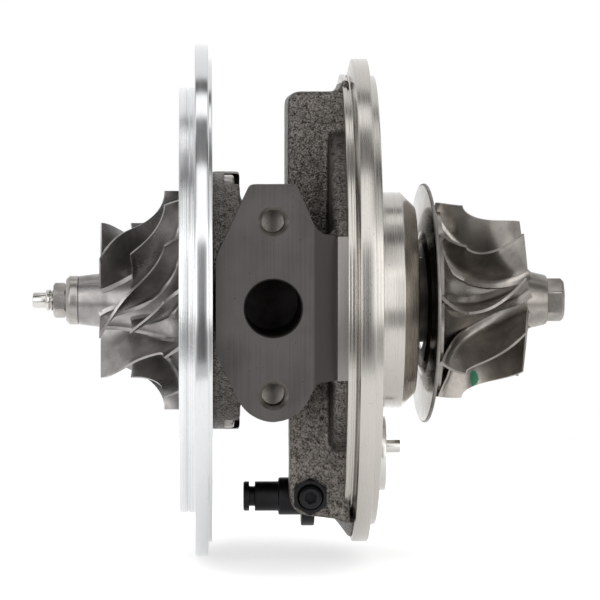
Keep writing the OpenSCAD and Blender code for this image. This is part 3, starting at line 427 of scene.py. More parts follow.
# Aluminium disc turned bright with a sharp tool
TURNED_ALUMINIUM = Turned("turned_aluminium", "#d6d7d8", "#a7a9ac", 0.13, line=0.16, depth=0.003,
                          gloss_swing=0.07)
# Pilot of that disc, turned with a coarser feed, whose deeper rings spread the light along the axis; its
# colour, lighter than the disc's, is a painted reflection of the bright cards at the ends
PILOT_SHEEN_ALUMINIUM = Turned("coarse_turned_aluminium_painted_sheen", "#e6e7e8", "#b7b9bc", 0.18, line=0.2, depth=0.07)
# Compressor wheel, cast aluminium with a satin skin
WHEEL_ALUMINIUM = FineCast("cast_wheel_aluminium", "#a9a6a5", "#858281", 0.3)
# Shroud edges of that wheel, turned bright
EDGE_ALUMINIUM = Turned("turned_wheel_edge", "#fbfaf9", "#dedcda", 0.26, line=0.3, depth=0.14)
# Turbine wheel, investment-cast nickel alloy, warm and dark
WHEEL_NICKEL = MarkedCast("cast_nickel_alloy", "#9d9892", "#797470", 0.3)
# Shroud edges of that wheel, ground
EDGE_NICKEL = Turned("ground_nickel_edge", "#d6d0c8", "#ada69d", 0.38)
# Heat shield, thin stainless sheet with a bright rolled skin
ROLLED_SHEET = SmoothSkin("bright_rolled_stainless", "#d2cfcb", "#b0aca8", 0.14)
# Rim of that sheet, sheared: duller and darker than its faces
SHEARED_EDGE = SmoothSkin("sheared_stainless_edge", "#8d8a87", "#6f6c69", 0.4)
# Shaft, crank, pins and sleeves, ground alloy steel: bright, with very fine rings
GROUND_STEEL = Turned("ground_steel", "#cfccc8", "#8f8a84", 0.2, line=0.14, depth=0.004)
# Compressor nut and plate screws, plated steel: dull and even
PLATED_STEEL = SmoothSkin("dull_plated_steel", "#b4b0ac", "#8e8a86", 0.27)
# Turbine end of the shaft, coloured near black: painted shade, where it sits in shadow between the wheel's
# nose and the heat shield
SHADOWED_SHAFT_STEEL = SmoothSkin("shadowed_shaft_steel", "#4a4541", "#322e2b", 0.4, 0.8)
# Lever, actuator pin and stop screw, chemically blackened steel
BLACK_STEEL = SmoothSkin("black_oxide_steel", "#17171a", "#0b0b0d", 0.36, 0.6)
# Bearings, leaded bronze, turned: yellow and satin
BRONZE = Turned("turned_bronze", "#c79a58", "#8f6a36", 0.26)
# Piston rings, ground grey iron: mid grey and satin
RING_IRON = Turned("ground_ring_iron", "#9a9894", "#6d6b68", 0.3)
# Seal, moulded nitrile rubber: black and matt
RUBBER = SmoothSkin("black_rubber", "#1a1a1a", "#101010", 0.6, 0.0, 1.52)
# Studio floor, matt white acrylic board on a light table
PALE_BOARD = LitBoard("matt_white_acrylic", "#c4c4c4", "#c0c0c0", 0.7, 0.0, 1.49, smear=160.0, depth=0.001)


def activate(piece: bpy.types.Object) -> None:
    """Selects one object alone and makes it active."""
    bpy.ops.object.select_all(action="DESELECT")
    piece.select_set(True)
    bpy.context.view_layer.objects.active = piece


def settle(piece: bpy.types.Object) -> None:
    """Puts the faces of a piece in order of their corners, because edit mode leaves them in any order."""
    faces = []
    for polygon in piece.data.polygons:
        corners = list(polygon.vertices)
        first = corners.index(min(corners))
        faces.append((corners[first:] + corners[:first], polygon.material_index))
    faces.sort()
    points = [vertex.co.copy() for vertex in piece.data.vertices]
    piece.data.clear_geometry()
    piece.data.from_pydata(points, [], [corners for corners, _ in faces])
    for polygon, (_, index) in zip(piece.data.polygons, faces):
        polygon.material_index = index


@contextmanager
def editing(piece: bpy.types.Object) -> Iterator[None]:
    """Opens a piece in edit mode with all of it selected, and closes and settles it again."""
    activate(piece)
    bpy.ops.object.mode_set(mode="EDIT")
    bpy.ops.mesh.select_all(action="SELECT")
    yield
    bpy.ops.object.mode_set(mode="OBJECT")
    settle(piece)


def apply(piece: bpy.types.Object, kind: str, **settings: object) -> None:
    """Adds a modifier to a piece and applies it.

    Args:
        piece: piece to change.
        kind: Blender's name of the kind of modifier.
        settings: properties of the modifier.
    """
    activate(piece)
    modifier = piece.modifiers.new(kind.lower(), kind)
    for name, value in settings.items():
        setattr(modifier, name, value)
    bpy.ops.object.modifier_apply(modifier=modifier.name)


def combine(piece: bpy.types.Object, other: bpy.types.Object, operation: Operation,
            crossing: bool = False) -> None:
    """Combines a piece with another solid, which is used up.

    Args:
        piece: solid that stays.
        other: solid that is added, cut away or kept to.
        operation: way in which they are combined.
        crossing: whether the other solid's own shells cross each other.
    """
    apply(piece, "BOOLEAN", object=other, operation=operation.value, solver="EXACT", material_mode="TRANSFER",
          use_self=crossing)
    bpy.data.objects.remove(other)


def join(pieces: list[bpy.types.Object]) -> bpy.types.Object:
    """Joins meshes into the first of them, without fusing them."""
    activate(pieces[0])
    for piece in pieces[1:]:
        piece.select_set(True)
    bpy.ops.object.join()
    return pieces[0]


def copies(piece: bpy.types.Object, turns: list[float]) -> list[bpy.types.Object]:
    """Copies a piece round the rotor axis, each copy with its own mesh.

    Args:
        piece: piece at the first place, which stays.
        turns: angle of each copy about X in degrees.

    Returns:
        The piece and its copies.
    """
    made = [piece]
    for turn in turns:
        twin = piece.copy()
        twin.data = piece.data.copy()
        twin.data.transform(Matrix.Rotation(math.radians(turn), 4, "X"))
        bpy.context.scene.collection.objects.link(twin)
        made.append(twin)
    return made


def arc(x: float, y: float, radius: float, start: float, end: float, steps: int = ARC_STEPS) -> Profile:
    """Gives points on an arc.

    Args:
        x: first coordinate of its centre.
        y: second coordinate of its centre.
        radius: its radius.
        start: first angle in degrees.
        end: last angle in degrees.
        steps: number of chords.

    Returns:
        The points from the first angle to the last.
    """
    angles = [math.radians(mix(start, end, i / steps)) for i in range(steps + 1)]
    return [(x + radius * math.cos(a), y + radius * math.sin(a)) for a in angles]


def rounded(corners: Corners, steps: int = 3) -> Profile:
    """Rounds the corners of a closed outline.

    Args:
        corners: two coordinates and a corner radius each.
        steps: number of chords in a rounded corner.

    Returns:
        The outline's points.
    """
    outline: Profile = []
    for i, (x, y, radius) in enumerate(corners):
        here = Vector((x, y))
        before = Vector(corners[i - 1][:2]) - here
        after = Vector(corners[(i + 1) % len(corners)][:2]) - here
        if radius == 0:
            outline.append((x, y))
            continue
        reach = min(radius / math.tan(before.angle(after) / 2), 0.45 * before.length, 0.45 * after.length)
        start = here + before.normalized() * reach
        end = here + after.normalized() * reach
        for k in range(steps + 1):
            t = k / steps
            point = start * (1 - t) ** 2 + here * (2 * t * (1 - t)) + end * t ** 2
            outline.append((point.x, point.y))
    return outline


def turned(name: str, profile: Profile, finish: Finish, axis: Axis = Axis.X,
           at: tuple[float, float] = (0.0, 0.0), steps: int = TURN_STEPS) -> bpy.types.Object:
    """Spins a closed profile about an axis.

    Args:
        name: name of the piece.
        profile: points of station and radius.
        finish: its surface.
        axis: direction of the axis.
        at: the axis's other two coordinates: Y and Z, or X and Z.
        steps: number of steps round the axis.

    Returns:
        The closed, turned piece.
    """
    bpy.ops.object.select_all(action="DESELECT")
    bpy.ops.mesh.primitive_circle_add(vertices=len(profile), fill_type="NOTHING")
    piece = bpy.context.object
    piece.name = name
    for vertex, (station, radius) in zip(piece.data.vertices, profile):
        vertex.co = (station, 0.0, radius)
    with editing(piece):
        bpy.ops.mesh.spin(steps=steps, angle=math.tau, center=(0, 0, 0), axis=(1, 0, 0))
        bpy.ops.mesh.select_all(action="SELECT")
        bpy.ops.mesh.remove_doubles(threshold=WELD)
        bpy.ops.mesh.delete_loose()
        bpy.ops.mesh.select_all(action="SELECT")
        bpy.ops.mesh.normals_make_consistent(inside=False)
    if axis is Axis.X:
        piece.data.transform(Matrix.Translation((0, *at)))
    else:
        piece.data.transform(Matrix.Translation((at[0], 0, at[1])) @ Matrix.Rotation(math.pi / 2, 4, "Z"))
    piece.data.materials.append(finish.material())
    return piece


def rod(name: str, start: float, end: float, radius: float, finish: Finish, axis: Axis,
        at: tuple[float, float] = (0.0, 0.0)) -> bpy.types.Object:
    """Makes a plain rod between two stations of an axis, as a blank or a cutter."""
    profile = [(start, 0.0), (start, radius), (end, radius), (end, 0.0)]
    return turned(name, profile, finish, axis, at, steps=64)


def prism(name: str, outline: Profile, start: float, end: float, axis: Axis,
          finish: Finish) -> bpy.types.Object:
    """Extrudes an outline along an axis.

    Args:
        name: name of the piece.
        outline: points of Y and Z for the axis X, or of X and Z for the axis Y.
        start: first station.
        end: last station.
        axis: direction of the extrusion.
        finish: its surface.

    Returns:
        The closed prism.
    """
    bpy.ops.object.select_all(action="DESELECT")
    bpy.ops.mesh.primitive_circle_add(vertices=len(outline), fill_type="NGON")
    piece = bpy.context.object
    piece.name = name
    along = (end - start, 0, 0) if axis is Axis.X else (0, end - start, 0)
    for vertex, (first, z) in zip(piece.data.vertices, outline):
        vertex.co = (start, first, z) if axis is Axis.X else (first, start, z)
    with editing(piece):
        bpy.ops.mesh.extrude_region_move(TRANSFORM_OT_translate={"value": along})
        bpy.ops.mesh.select_all(action="SELECT")
        bpy.ops.mesh.normals_make_consistent(inside=False)
    piece.data.materials.append(finish.material())
    return piece


def sector(name: str, section: Profile, start: float, end: float, finish: Finish,
           steps: int = 18) -> bpy.types.Object:
    """Spins a closed section about the rotor axis over part of a turn.

    Args:
        name: name of the piece.
        section: points of station and radius.
        start: first angle in degrees, counted from straight down and positive away from the drain.
        end: last angle.
        finish: its surface.
        steps: number of steps of the spin.

    Returns:
        The closed sector.
    """
    bpy.ops.object.select_all(action="DESELECT")
    bpy.ops.mesh.primitive_circle_add(vertices=len(section), fill_type="NGON")
    piece = bpy.context.object
    piece.name = name
    turn = Matrix.Rotation(math.radians(start), 4, "X")
    for vertex, (x, r) in zip(piece.data.vertices, section):
        vertex.co = turn @ Vector((x, 0.0, -r))
    with editing(piece):
        bpy.ops.mesh.spin(steps=steps, angle=math.radians(start - end), center=(0, 0, 0), axis=(1, 0, 0))
        bpy.ops.mesh.select_all(action="SELECT")
        bpy.ops.mesh.normals_make_consistent(inside=False)
    piece.data.materials.append(finish.material())
    return piece


def hexagon(flats: float, turn: float, centre: tuple[float, float] = (0.0, 0.0)) -> Profile:
    """Gives a hexagon by its distance across flats and the angle of its first corner in degrees."""
    return arc(*centre, flats / math.sqrt(3), turn, turn + 300, steps=5)


def finish_piece(piece: bpy.types.Object, body: Body, slot: str, *nodes: str) -> bpy.types.Object:
    """Scales a finished piece to metres, shades it and hangs it on its body.

    Args:
        piece: piece in millimetres.
        body: body that it moves with.
        slot: material slot of the record that it is finished by; not used.
        nodes: solids of the frame that it stands for.

    Returns:
        The piece.
    """
    piece.data.transform(Matrix.Scale(MM, 4))
    piece.data.update()
    activate(piece)
    bpy.ops.object.shade_smooth_by_angle(angle=SMOOTH_ANGLE)
    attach(piece, body.value)
    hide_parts(*nodes)
    LOG.info("%s: %d faces on %s", piece.name, len(piece.data.polygons), body.value)
    return piece


def screw_places() -> list[tuple[float, float]]:
    """Gives Y and Z of the screws that hold the seal plate."""
    radius = 25.2
    turns = [math.radians(degrees) for degrees in (107.6, 252.4, 330.0)]
    return [(radius * math.cos(turn), radius * math.sin(turn)) for turn in turns]


@dataclass
class BearingHousing:
    """Centre housing: neck, drain block and lugs left as cast, flange, nose, faces and bores machined."""

    plate_back: float = 3.8
    flange_r: float = 29.3
    flange_back: float = 10.1
    neck_r: float = 20.0
    neck_fillet: float = 5.0
    web: float = 29.8
    web_r: float = 42.0
    shoulder: float = 32.9
    shoulder_r: float = 51.3
    taper: float = 34.6
    rim: float = 35.5
    rim_r: float = 54.8
    register: float = 38.9
    register_r: float = 51.0
    face: float = 40.6
    nose: float = 49.9
    nose_r: float = 24.5
    nose_chamfer: float = 3.3
    drain_x: float = 16.9
    drain_face: float = -46.0
    drain_flange: float = 9.0
    drain_right: float = 13.8
    drain_shoulder: float = 15.6
    drain_bore_r: float = 6.15
    bolt_z: float = 18.75
    bolt_r: float = 2.5
    bolt_depth: float = 9.5
    inlet_face: float = 36.0
    inlet_boss_r: float = 10.45
    inlet_thread_r: float = 4.45
    inlet_depth: float = 12.0
    core_r: float = 9.0
    pocket: float = 9.0
    pocket_r: float = 17.8
    bush_bore: float = 10.45
    bush_bore_r: float = 7.5
    nose_bore: float = 42.0
    nose_bore_r: float = 9.0
    crank_bore_r: float = 4.5
    stop_bore_r: float = 2.5
    screw_hole_r: float = 2.75
    spot_r: float = 5.4
    lug_end: float = -13.48
    stop_boss_r: float = 4.5
    voxel: float = 0.55
    sunk: float = 1.5

    def core(self) -> bpy.types.Object:
        """Turns the cast core: front flange, neck and the web behind the turbine flange."""
        r = self.neck_fillet
        right = self.shoulder + self.sunk
        profile = [(self.plate_back, self.core_r), (self.plate_back, self.flange_r),
                   (self.flange_back, self.flange_r)]
        profile += arc(self.flange_back + r, self.neck_r + r, r, 180, 270)
        profile += arc(self.web - r, self.neck_r + r, r, 270, 360)
        profile += [(self.web, self.web_r - 1), (self.web + 1, self.web_r), (right, self.web_r),
                    (right, self.core_r)]
        return turned("casting", profile, CAST_IRON, steps=96)

    def drain_outline(self) -> Profile:
        """Gives the drain flange's outline of X and Z: a blunt ear above, a round ear below."""
        x = self.drain_x
        right = x + self.drain_right
        left = x - 12.4
        shoulder = self.drain_shoulder
        low = -16.05
        ear = 8.5
        top = 26.75
        corners = [(x - 5, top, 0.8), (x + 5, top, 0.8), (x + 8.8, shoulder + 2.3, 1.5),
                   (x + 10.3, shoulder + 0.4, 1.5), (right, shoulder, 0.5), (right, -shoulder, 0.5),
                   (x + 9.4, -shoulder - 0.6, 1.2)]
        end = [(left, -9.6, 2.0), (left, 11.0, 3.0)]
        below = [(x + ear * math.cos(a), low + ear * math.sin(a), 0.0)
                 for a in [math.radians(d) for d in range(-20, -160, -10)]]
        return rounded(corners + below + end)

    def drain_block(self) -> list[bpy.types.Object]:
        """Makes the drain flange, a little proud of its milled face, and the necks that carry it."""
        back = self.drain_face + self.drain_flange
        deep = -self.neck_r / 2
        front = self.drain_face - self.sunk
        neck_r = self.drain_bore_r + 6.5
        parts = [prism("drain_flange", self.drain_outline(), front, back, Axis.Y, CAST_IRON),
                 rod("drain_neck", back - 1, 0.0, neck_r, CAST_IRON, Axis.Y, (self.drain_x, 0.0))]
        for side in (-1, 1):
            at = (self.drain_x, side * self.bolt_z)
            parts.append(rod("bolt_boss", back - 1, deep, self.bolt_r + 4, CAST_IRON, Axis.Y, at))
        half = self.drain_shoulder - 2
        right = self.shoulder + self.sunk
        block = [(self.drain_x, -half), (right, -half), (right, half), (self.drain_x, half)]
        parts.append(prism("drain_bridge", block, back - 1, deep, Axis.Y, CAST_IRON))
        return parts

    def lugs(self) -> list[bpy.types.Object]:
        """Makes the upper lug, the wall of the stop screw, the flare below it and the two bosses."""
        right = self.shoulder + self.sunk
        left, top, bend, half = 20.7, 47.2, 2.5, 17.0
        upper = [(left, 0.0)] + arc(left + bend, top - bend, bend, 180, 90)
        upper += arc(30.4, top + bend, bend, -90, 0)
        upper += [(right, top + bend), (right, 0.0)]
        x, z = STOP_AT
        low = z - self.stop_boss_r
        lower = [(x - self.stop_boss_r, 0.0)] + arc(x, z, self.stop_boss_r, 180, 270)
        lower += [(self.web + 1, low - 0.6), (right, low - 2), (right, 0.0)]
        inlet, inlet_at = self.inlet_face + self.sunk, (self.drain_x, 0.0)
        return [prism("upper_lug", upper, -half, half, Axis.Y, CAST_IRON),
                prism("stop_wall", lower, STOP_WALL, self.lug_end, Axis.Y, CAST_IRON),
                self.flare(),
                rod("crank_boss", self.web - 2.5, right, 8.0, CAST_IRON, Axis.X, CRANK_AT),
                rod("inlet_boss", 0.0, inlet, self.inlet_boss_r, CAST_IRON, Axis.Y, inlet_at)]

    def flare(self) -> bpy.types.Object:
        """Makes the cast flare from the stop screw's wall out to the rim, over a sector below the axis."""
        inner = self.web_r - 2
        lip = self.rim_r - 0.5
        section = [(self.web + 0.8, inner), (self.web + 1.2, lip - 5.3), (self.shoulder + 0.3, lip - 2.7),
                   (self.taper, lip - 0.7), (self.rim, lip - 0.2), (self.rim, inner)]
        return sector("flare", section, -25, 20, CAST_IRON)

    def drain_step(self) -> bpy.types.Object:
        """Makes the step beside the drain face, turned together with the shoulder and milled on its wall."""
        left, right = self.drain_x + self.drain_right - 0.1, self.shoulder + 0.5
        inner, top = self.web_r - 4, self.shoulder_r - 0.3
        section = rounded([(left, inner, 0), (right, inner, 0), (right, top, 0), (left, top, 0.3)])
        half = math.degrees(math.asin(self.drain_shoulder / self.shoulder_r))
        # painted shade: the step is coloured darker than the turned flange
        return sector("drain_step", section, -90 - half, half - 90, SHADED_STEP_IRON, 24)

    def casting(self) -> bpy.types.Object:
        """Fuses the cast forms with soft fillets and an uneven skin, and mills the drain and inlet faces."""
        piece = join([self.core(), *self.drain_block(), *self.lugs()])
        apply(piece, "REMESH", mode="VOXEL", voxel_size=self.voxel)
        apply(piece, "SMOOTH", factor=0.5, iterations=7)
        skin = bpy.data.textures.new("cast_skin", "CLOUDS")
        skin.noise_scale = 2.4
        apply(piece, "DISPLACE", texture=skin, strength=0.08, mid_level=0.5)
        with editing(piece):
            bpy.ops.mesh.bisect(plane_co=(0, self.drain_face, 0), plane_no=(0, -1, 0), use_fill=True,
                                clear_outer=True)
            bpy.ops.mesh.select_all(action="SELECT")
            bpy.ops.mesh.bisect(plane_co=(0, self.inlet_face, 0), plane_no=(0, 1, 0), use_fill=True,
                                clear_outer=True)
        piece.data.materials.append(MILLED_IRON.material())
        for polygon in piece.data.polygons:
            flat = abs(polygon.normal.y) > 0.999
            y = polygon.center.y
            if flat and (abs(y - self.drain_face) < WELD or abs(y - self.inlet_face) < WELD):
                polygon.material_index = 1
        return piece

    def turned_flange(self) -> bpy.types.Object:
        """Turns the turbine flange, its grooved shoulder, the clamp cone, the register and the nose."""
        groove = self.shoulder + 0.95
        groove_end = groove + 0.45
        groove_r = self.shoulder_r - 0.5
        sunk, sunk_r, core_r = self.web + 0.7, 30.0, 6.0
        corners = [(self.shoulder, sunk_r, 0), (self.shoulder, self.shoulder_r, 0.25),
                   (groove, self.shoulder_r, 0.08), (groove, groove_r, 0), (groove_end, groove_r, 0),
                   (groove_end, self.shoulder_r, 0.08), (self.taper, self.shoulder_r, 0),
                   (self.rim, self.rim_r, 0.2), (self.register, self.rim_r, 0.3),
                   (self.register, self.register_r, 0.15), (self.face, self.register_r, 0.35),
                   (self.face, self.nose_r, 0.4), (self.nose - self.nose_chamfer, self.nose_r, 0.2),
                   (self.nose, self.nose_r - self.nose_chamfer, 0.3), (self.nose, core_r, 0),
                   (sunk, core_r, 0), (sunk, sunk_r, 0)]
        return turned("turned_flange", rounded(corners), TURNED_IRON, steps=192)

    def bores(self) -> list[bpy.types.Object]:
        """Makes the cutters of the bearing bore, the oil ways, the threads, the crank bush and the screws."""
        past = 1.0
        front, end, step_r = self.plate_back - past, self.nose + past, self.nose_bore_r + 0.2
        axis = [(front, 0.0), (front, self.pocket_r), (self.pocket, self.pocket_r), (self.pocket, step_r),
                (self.bush_bore, step_r), (self.bush_bore, self.bush_bore_r),
                (self.nose_bore, self.bush_bore_r), (self.nose_bore, self.nose_bore_r),
                (end, self.nose_bore_r), (end, 0.0)]
        face, deep, broken = self.drain_face, -12.0, 0.3
        drain = [(face - past, 0.0), (face - past, self.drain_bore_r + broken),
                 (face, self.drain_bore_r + broken), (face + broken, self.drain_bore_r),
                 (deep, self.drain_bore_r), (deep, 0.0)]
        bush_r, stop_r = self.crank_bore_r + PLAY, self.stop_bore_r + PLAY
        oil_at = (self.drain_x, 0.0)
        cutters = [turned("axis_bore", axis, TURNED_IRON, steps=96),
                   # the drain bore is coloured much darker than the rest of the iron
                   turned("drain_bore", drain, DARK_BORE_IRON, Axis.Y, oil_at, 96),
                   rod("crank_bore", 26.0, 45.0, bush_r, DRILLED_IRON, Axis.X, CRANK_AT),
                   rod("stop_bore", STOP_WALL - 6, self.lug_end + past, stop_r, DRILLED_IRON, Axis.Y,
                       STOP_AT)]
        for side in (-1, 1):
            thread = self.thread_cutter(face, 1, self.bolt_r, self.bolt_depth)
            bolt_at = (self.drain_x, side * self.bolt_z)
            cutters.append(turned("drain_thread", thread, DRILLED_IRON, Axis.Y, bolt_at, 48))
        inlet = self.thread_cutter(self.inlet_face, -1, self.inlet_thread_r, self.inlet_depth)
        cutters.append(turned("inlet_thread", inlet, DRILLED_IRON, Axis.Y, oil_at, 64))
        start, back = 2.0, self.flange_back + 3
        seat = [(start, 0.0), (start, self.screw_hole_r), (SCREW_SEAT, self.screw_hole_r),
                (SCREW_SEAT, self.spot_r), (back, self.spot_r), (back, 0.0)]
        for at in screw_places():
            cutters.append(turned("screw_seat", seat, MILLED_IRON, Axis.X, at, 64))
        return cutters

    def thread_cutter(self, face: float, inwards: int, minor: float, depth: float) -> Profile:
        """Gives the profile of a tapped hole: a chamfer, thread crests at a pitch of 1 mm and a drill point.

        Args:
            face: station of the face.
            inwards: direction into the metal, 1 or -1.
            minor: radius of the crests.
            depth: depth of the hole.

        Returns:
            The cutter's profile of station and radius.
        """
        pitch, height = 1.0, 0.5
        profile = [(face - inwards, 0.0), (face - inwards, minor + 0.8), (face, minor + 0.8),
                   (face + inwards * 0.8, minor)]
        for i in range(int((depth - 2.5) / pitch)):
            start = face + inwards * (0.9 + i * pitch)
            profile += [(start, minor), (start + inwards * pitch / 2, minor + height)]
        profile += [(face + inwards * (depth - 0.5), minor), (face + inwards * depth, 0.0)]
        return profile

    def build(self) -> None:
        """Builds the housing and hangs it on its body."""
        piece = self.casting()
        piece.name = "bearing_housing_cast"
        combine(piece, self.turned_flange(), Operation.ADD)
        combine(piece, self.drain_step(), Operation.ADD)
        for cutter in self.bores():
            combine(piece, cutter, Operation.CUT)
        finish_piece(piece, Body.HOUSING, "housing_iron", "bearing_housing")


@dataclass
class SealPlate:
    """Bright aluminium disc behind the compressor wheel, and the screws that hold it."""

    pilot_r: float = 48.3
    pilot: float = -3.5
    disc_r: float = 58.1
    disc: float = 3.0
    step_r: float = 54.9
    step: float = 3.8
    boss: float = 6.4
    boss_r: float = 17.6
    boss_wall: float = 4.0
    recess: float = -1.3
    recess_r: float = 25.6
    bore_r: float = 8.4
    groove_w: float = 0.45
    groove_depth: float = 0.3
    head_r: float = 4.5
    head_h: float = 2.2
    shank_r: float = 2.5
    socket_flats: float = 3.0

    def build(self) -> None:
        """Builds the plate and its screws."""
        groove = self.pilot / 2
        groove_end = groove + self.groove_w
        groove_r = self.pilot_r - self.groove_depth
        boss_inner = self.boss_r - self.boss_wall
        corners = [(self.pilot, self.recess_r, 0.15), (self.pilot, self.pilot_r, 0.3),
                   (groove, self.pilot_r, 0.08), (groove, groove_r, 0), (groove_end, groove_r, 0),
                   (groove_end, self.pilot_r, 0.08), (0.0, self.pilot_r, 0.2), (0.0, self.disc_r, 0.3),
                   (self.disc, self.disc_r, 0.3), (self.disc, self.step_r, 0.15),
                   (self.step, self.step_r, 0.25), (self.step, self.boss_r, 0.3),
                   (self.boss, self.boss_r, 0.3), (self.boss, boss_inner, 0.3),
                   (self.step, boss_inner, 0.3), (self.step, self.bore_r, 0.2),
                   (self.recess, self.bore_r, 0.2), (self.recess, self.recess_r, 0.5)]
        plate = turned("seal_plate_turned", rounded(corners), TURNED_ALUMINIUM, steps=256)
        # the pilot gets the lighter aluminium, a painted reflection of the bright cards at the ends
        plate.data.materials.append(PILOT_SHEEN_ALUMINIUM.material())
        for polygon in plate.data.polygons:
            outwards = math.hypot(polygon.center.y, polygon.center.z) > self.pilot_r - 2 * self.groove_depth
            polygon.material_index = 1 if outwards and polygon.center.x < -WELD else 0
        finish_piece(plate, Body.HOUSING, "plate_aluminium", "seal_plate")
        finish_piece(self.screws(), Body.HOUSING, "plain_steel", "seal_plate_screws")

    def screws(self) -> bpy.types.Object:
        """Makes the socket screws: a rounded head with a hexagon socket on a threaded shank."""
        seat, top, point = SCREW_SEAT, SCREW_SEAT + self.head_h, 0.4
        corners = [(0.0, 0.0, 0), (0.0, self.shank_r - point, 0), (point, self.shank_r, 0),
                   (seat, self.shank_r, 0), (seat, self.head_r, 0.1), (top, self.head_r, 0.7), (top, 0.0, 0)]
        made = []
        for at in screw_places():
            screw = turned("seal_plate_screw", rounded(corners), PLATED_STEEL, Axis.X, at, 48)
            outline = hexagon(self.socket_flats, 0, at)
            socket = prism("socket", outline, seat + 0.8, seat + 4, Axis.X, PLATED_STEEL)
            combine(screw, socket, Operation.CUT)
            made.append(screw)
        group = join(made)
        group.name = "seal_plate_socket_screws"
        return group


def blade(name: str, camber: Callable[[float, float], tuple[float, float, float]],
          thickness: Callable[[float, float], float], steps: tuple[int, int], finishes: tuple[Finish, Finish],
          gather: float = 1.7) -> bpy.types.Object:
    """Makes one blade from a grid that is laid on its camber surface and thickened.

    Args:
        name: name of the blade.
        camber: station, radius and angle up from the drain side in degrees, for a share of chord and span.
        thickness: thickness in millimetres for the same shares.
        steps: steps along the chord and up the span.
        finishes: surface of the blade and of its shroud edge.
        gather: power that draws the steps of the span towards the root.

    Returns:
        The closed blade.
    """
    bpy.ops.object.select_all(action="DESELECT")
    bpy.ops.mesh.primitive_grid_add(x_subdivisions=steps[0], y_subdivisions=steps[1], size=1)
    piece = bpy.context.object
    piece.name = name
    group = piece.vertex_groups.new(name="thickness")
    tip = piece.vertex_groups.new(name="tip")
    shares = [(v.co.x + 0.5, (v.co.y + 0.5) ** gather) for v in piece.data.vertices]
    widths = [thickness(s, t) for s, t in shares]
    thickest = max(widths)
    for vertex, (s, t), width in zip(piece.data.vertices, shares, widths):
        x, r, angle = camber(s, t)
        turn = math.radians(angle)
        vertex.co = (x, -r * math.cos(turn), r * math.sin(turn))
        group.add([vertex.index], width / thickest, "REPLACE")
        if t > 0.999:
            tip.add([vertex.index], 1.0, "REPLACE")
    for finish in finishes:
        piece.data.materials.append(finish.material())
    apply(piece, "SOLIDIFY", thickness=thickest, offset=0.0, vertex_group=group.name, use_even_offset=False,
          use_rim=True, material_offset_rim=1)
    at_tip = {v.index for v in piece.data.vertices if tip.index in [g.group for g in v.groups]}
    for polygon in piece.data.polygons:
        if not at_tip.issuperset(polygon.vertices):
            polygon.material_index = 0
    with editing(piece):
        bpy.ops.mesh.normals_make_consistent(inside=False)
    return piece


def root_fillet(height: float, radius: float) -> float:
    """Gives how much a root fillet widens a blade on both sides, at a height over the hub."""
    if height >= radius:
        return 0.0
    rest = radius - max(height, 0.0)
    return 2 * (radius - math.sqrt(radius ** 2 - rest ** 2))


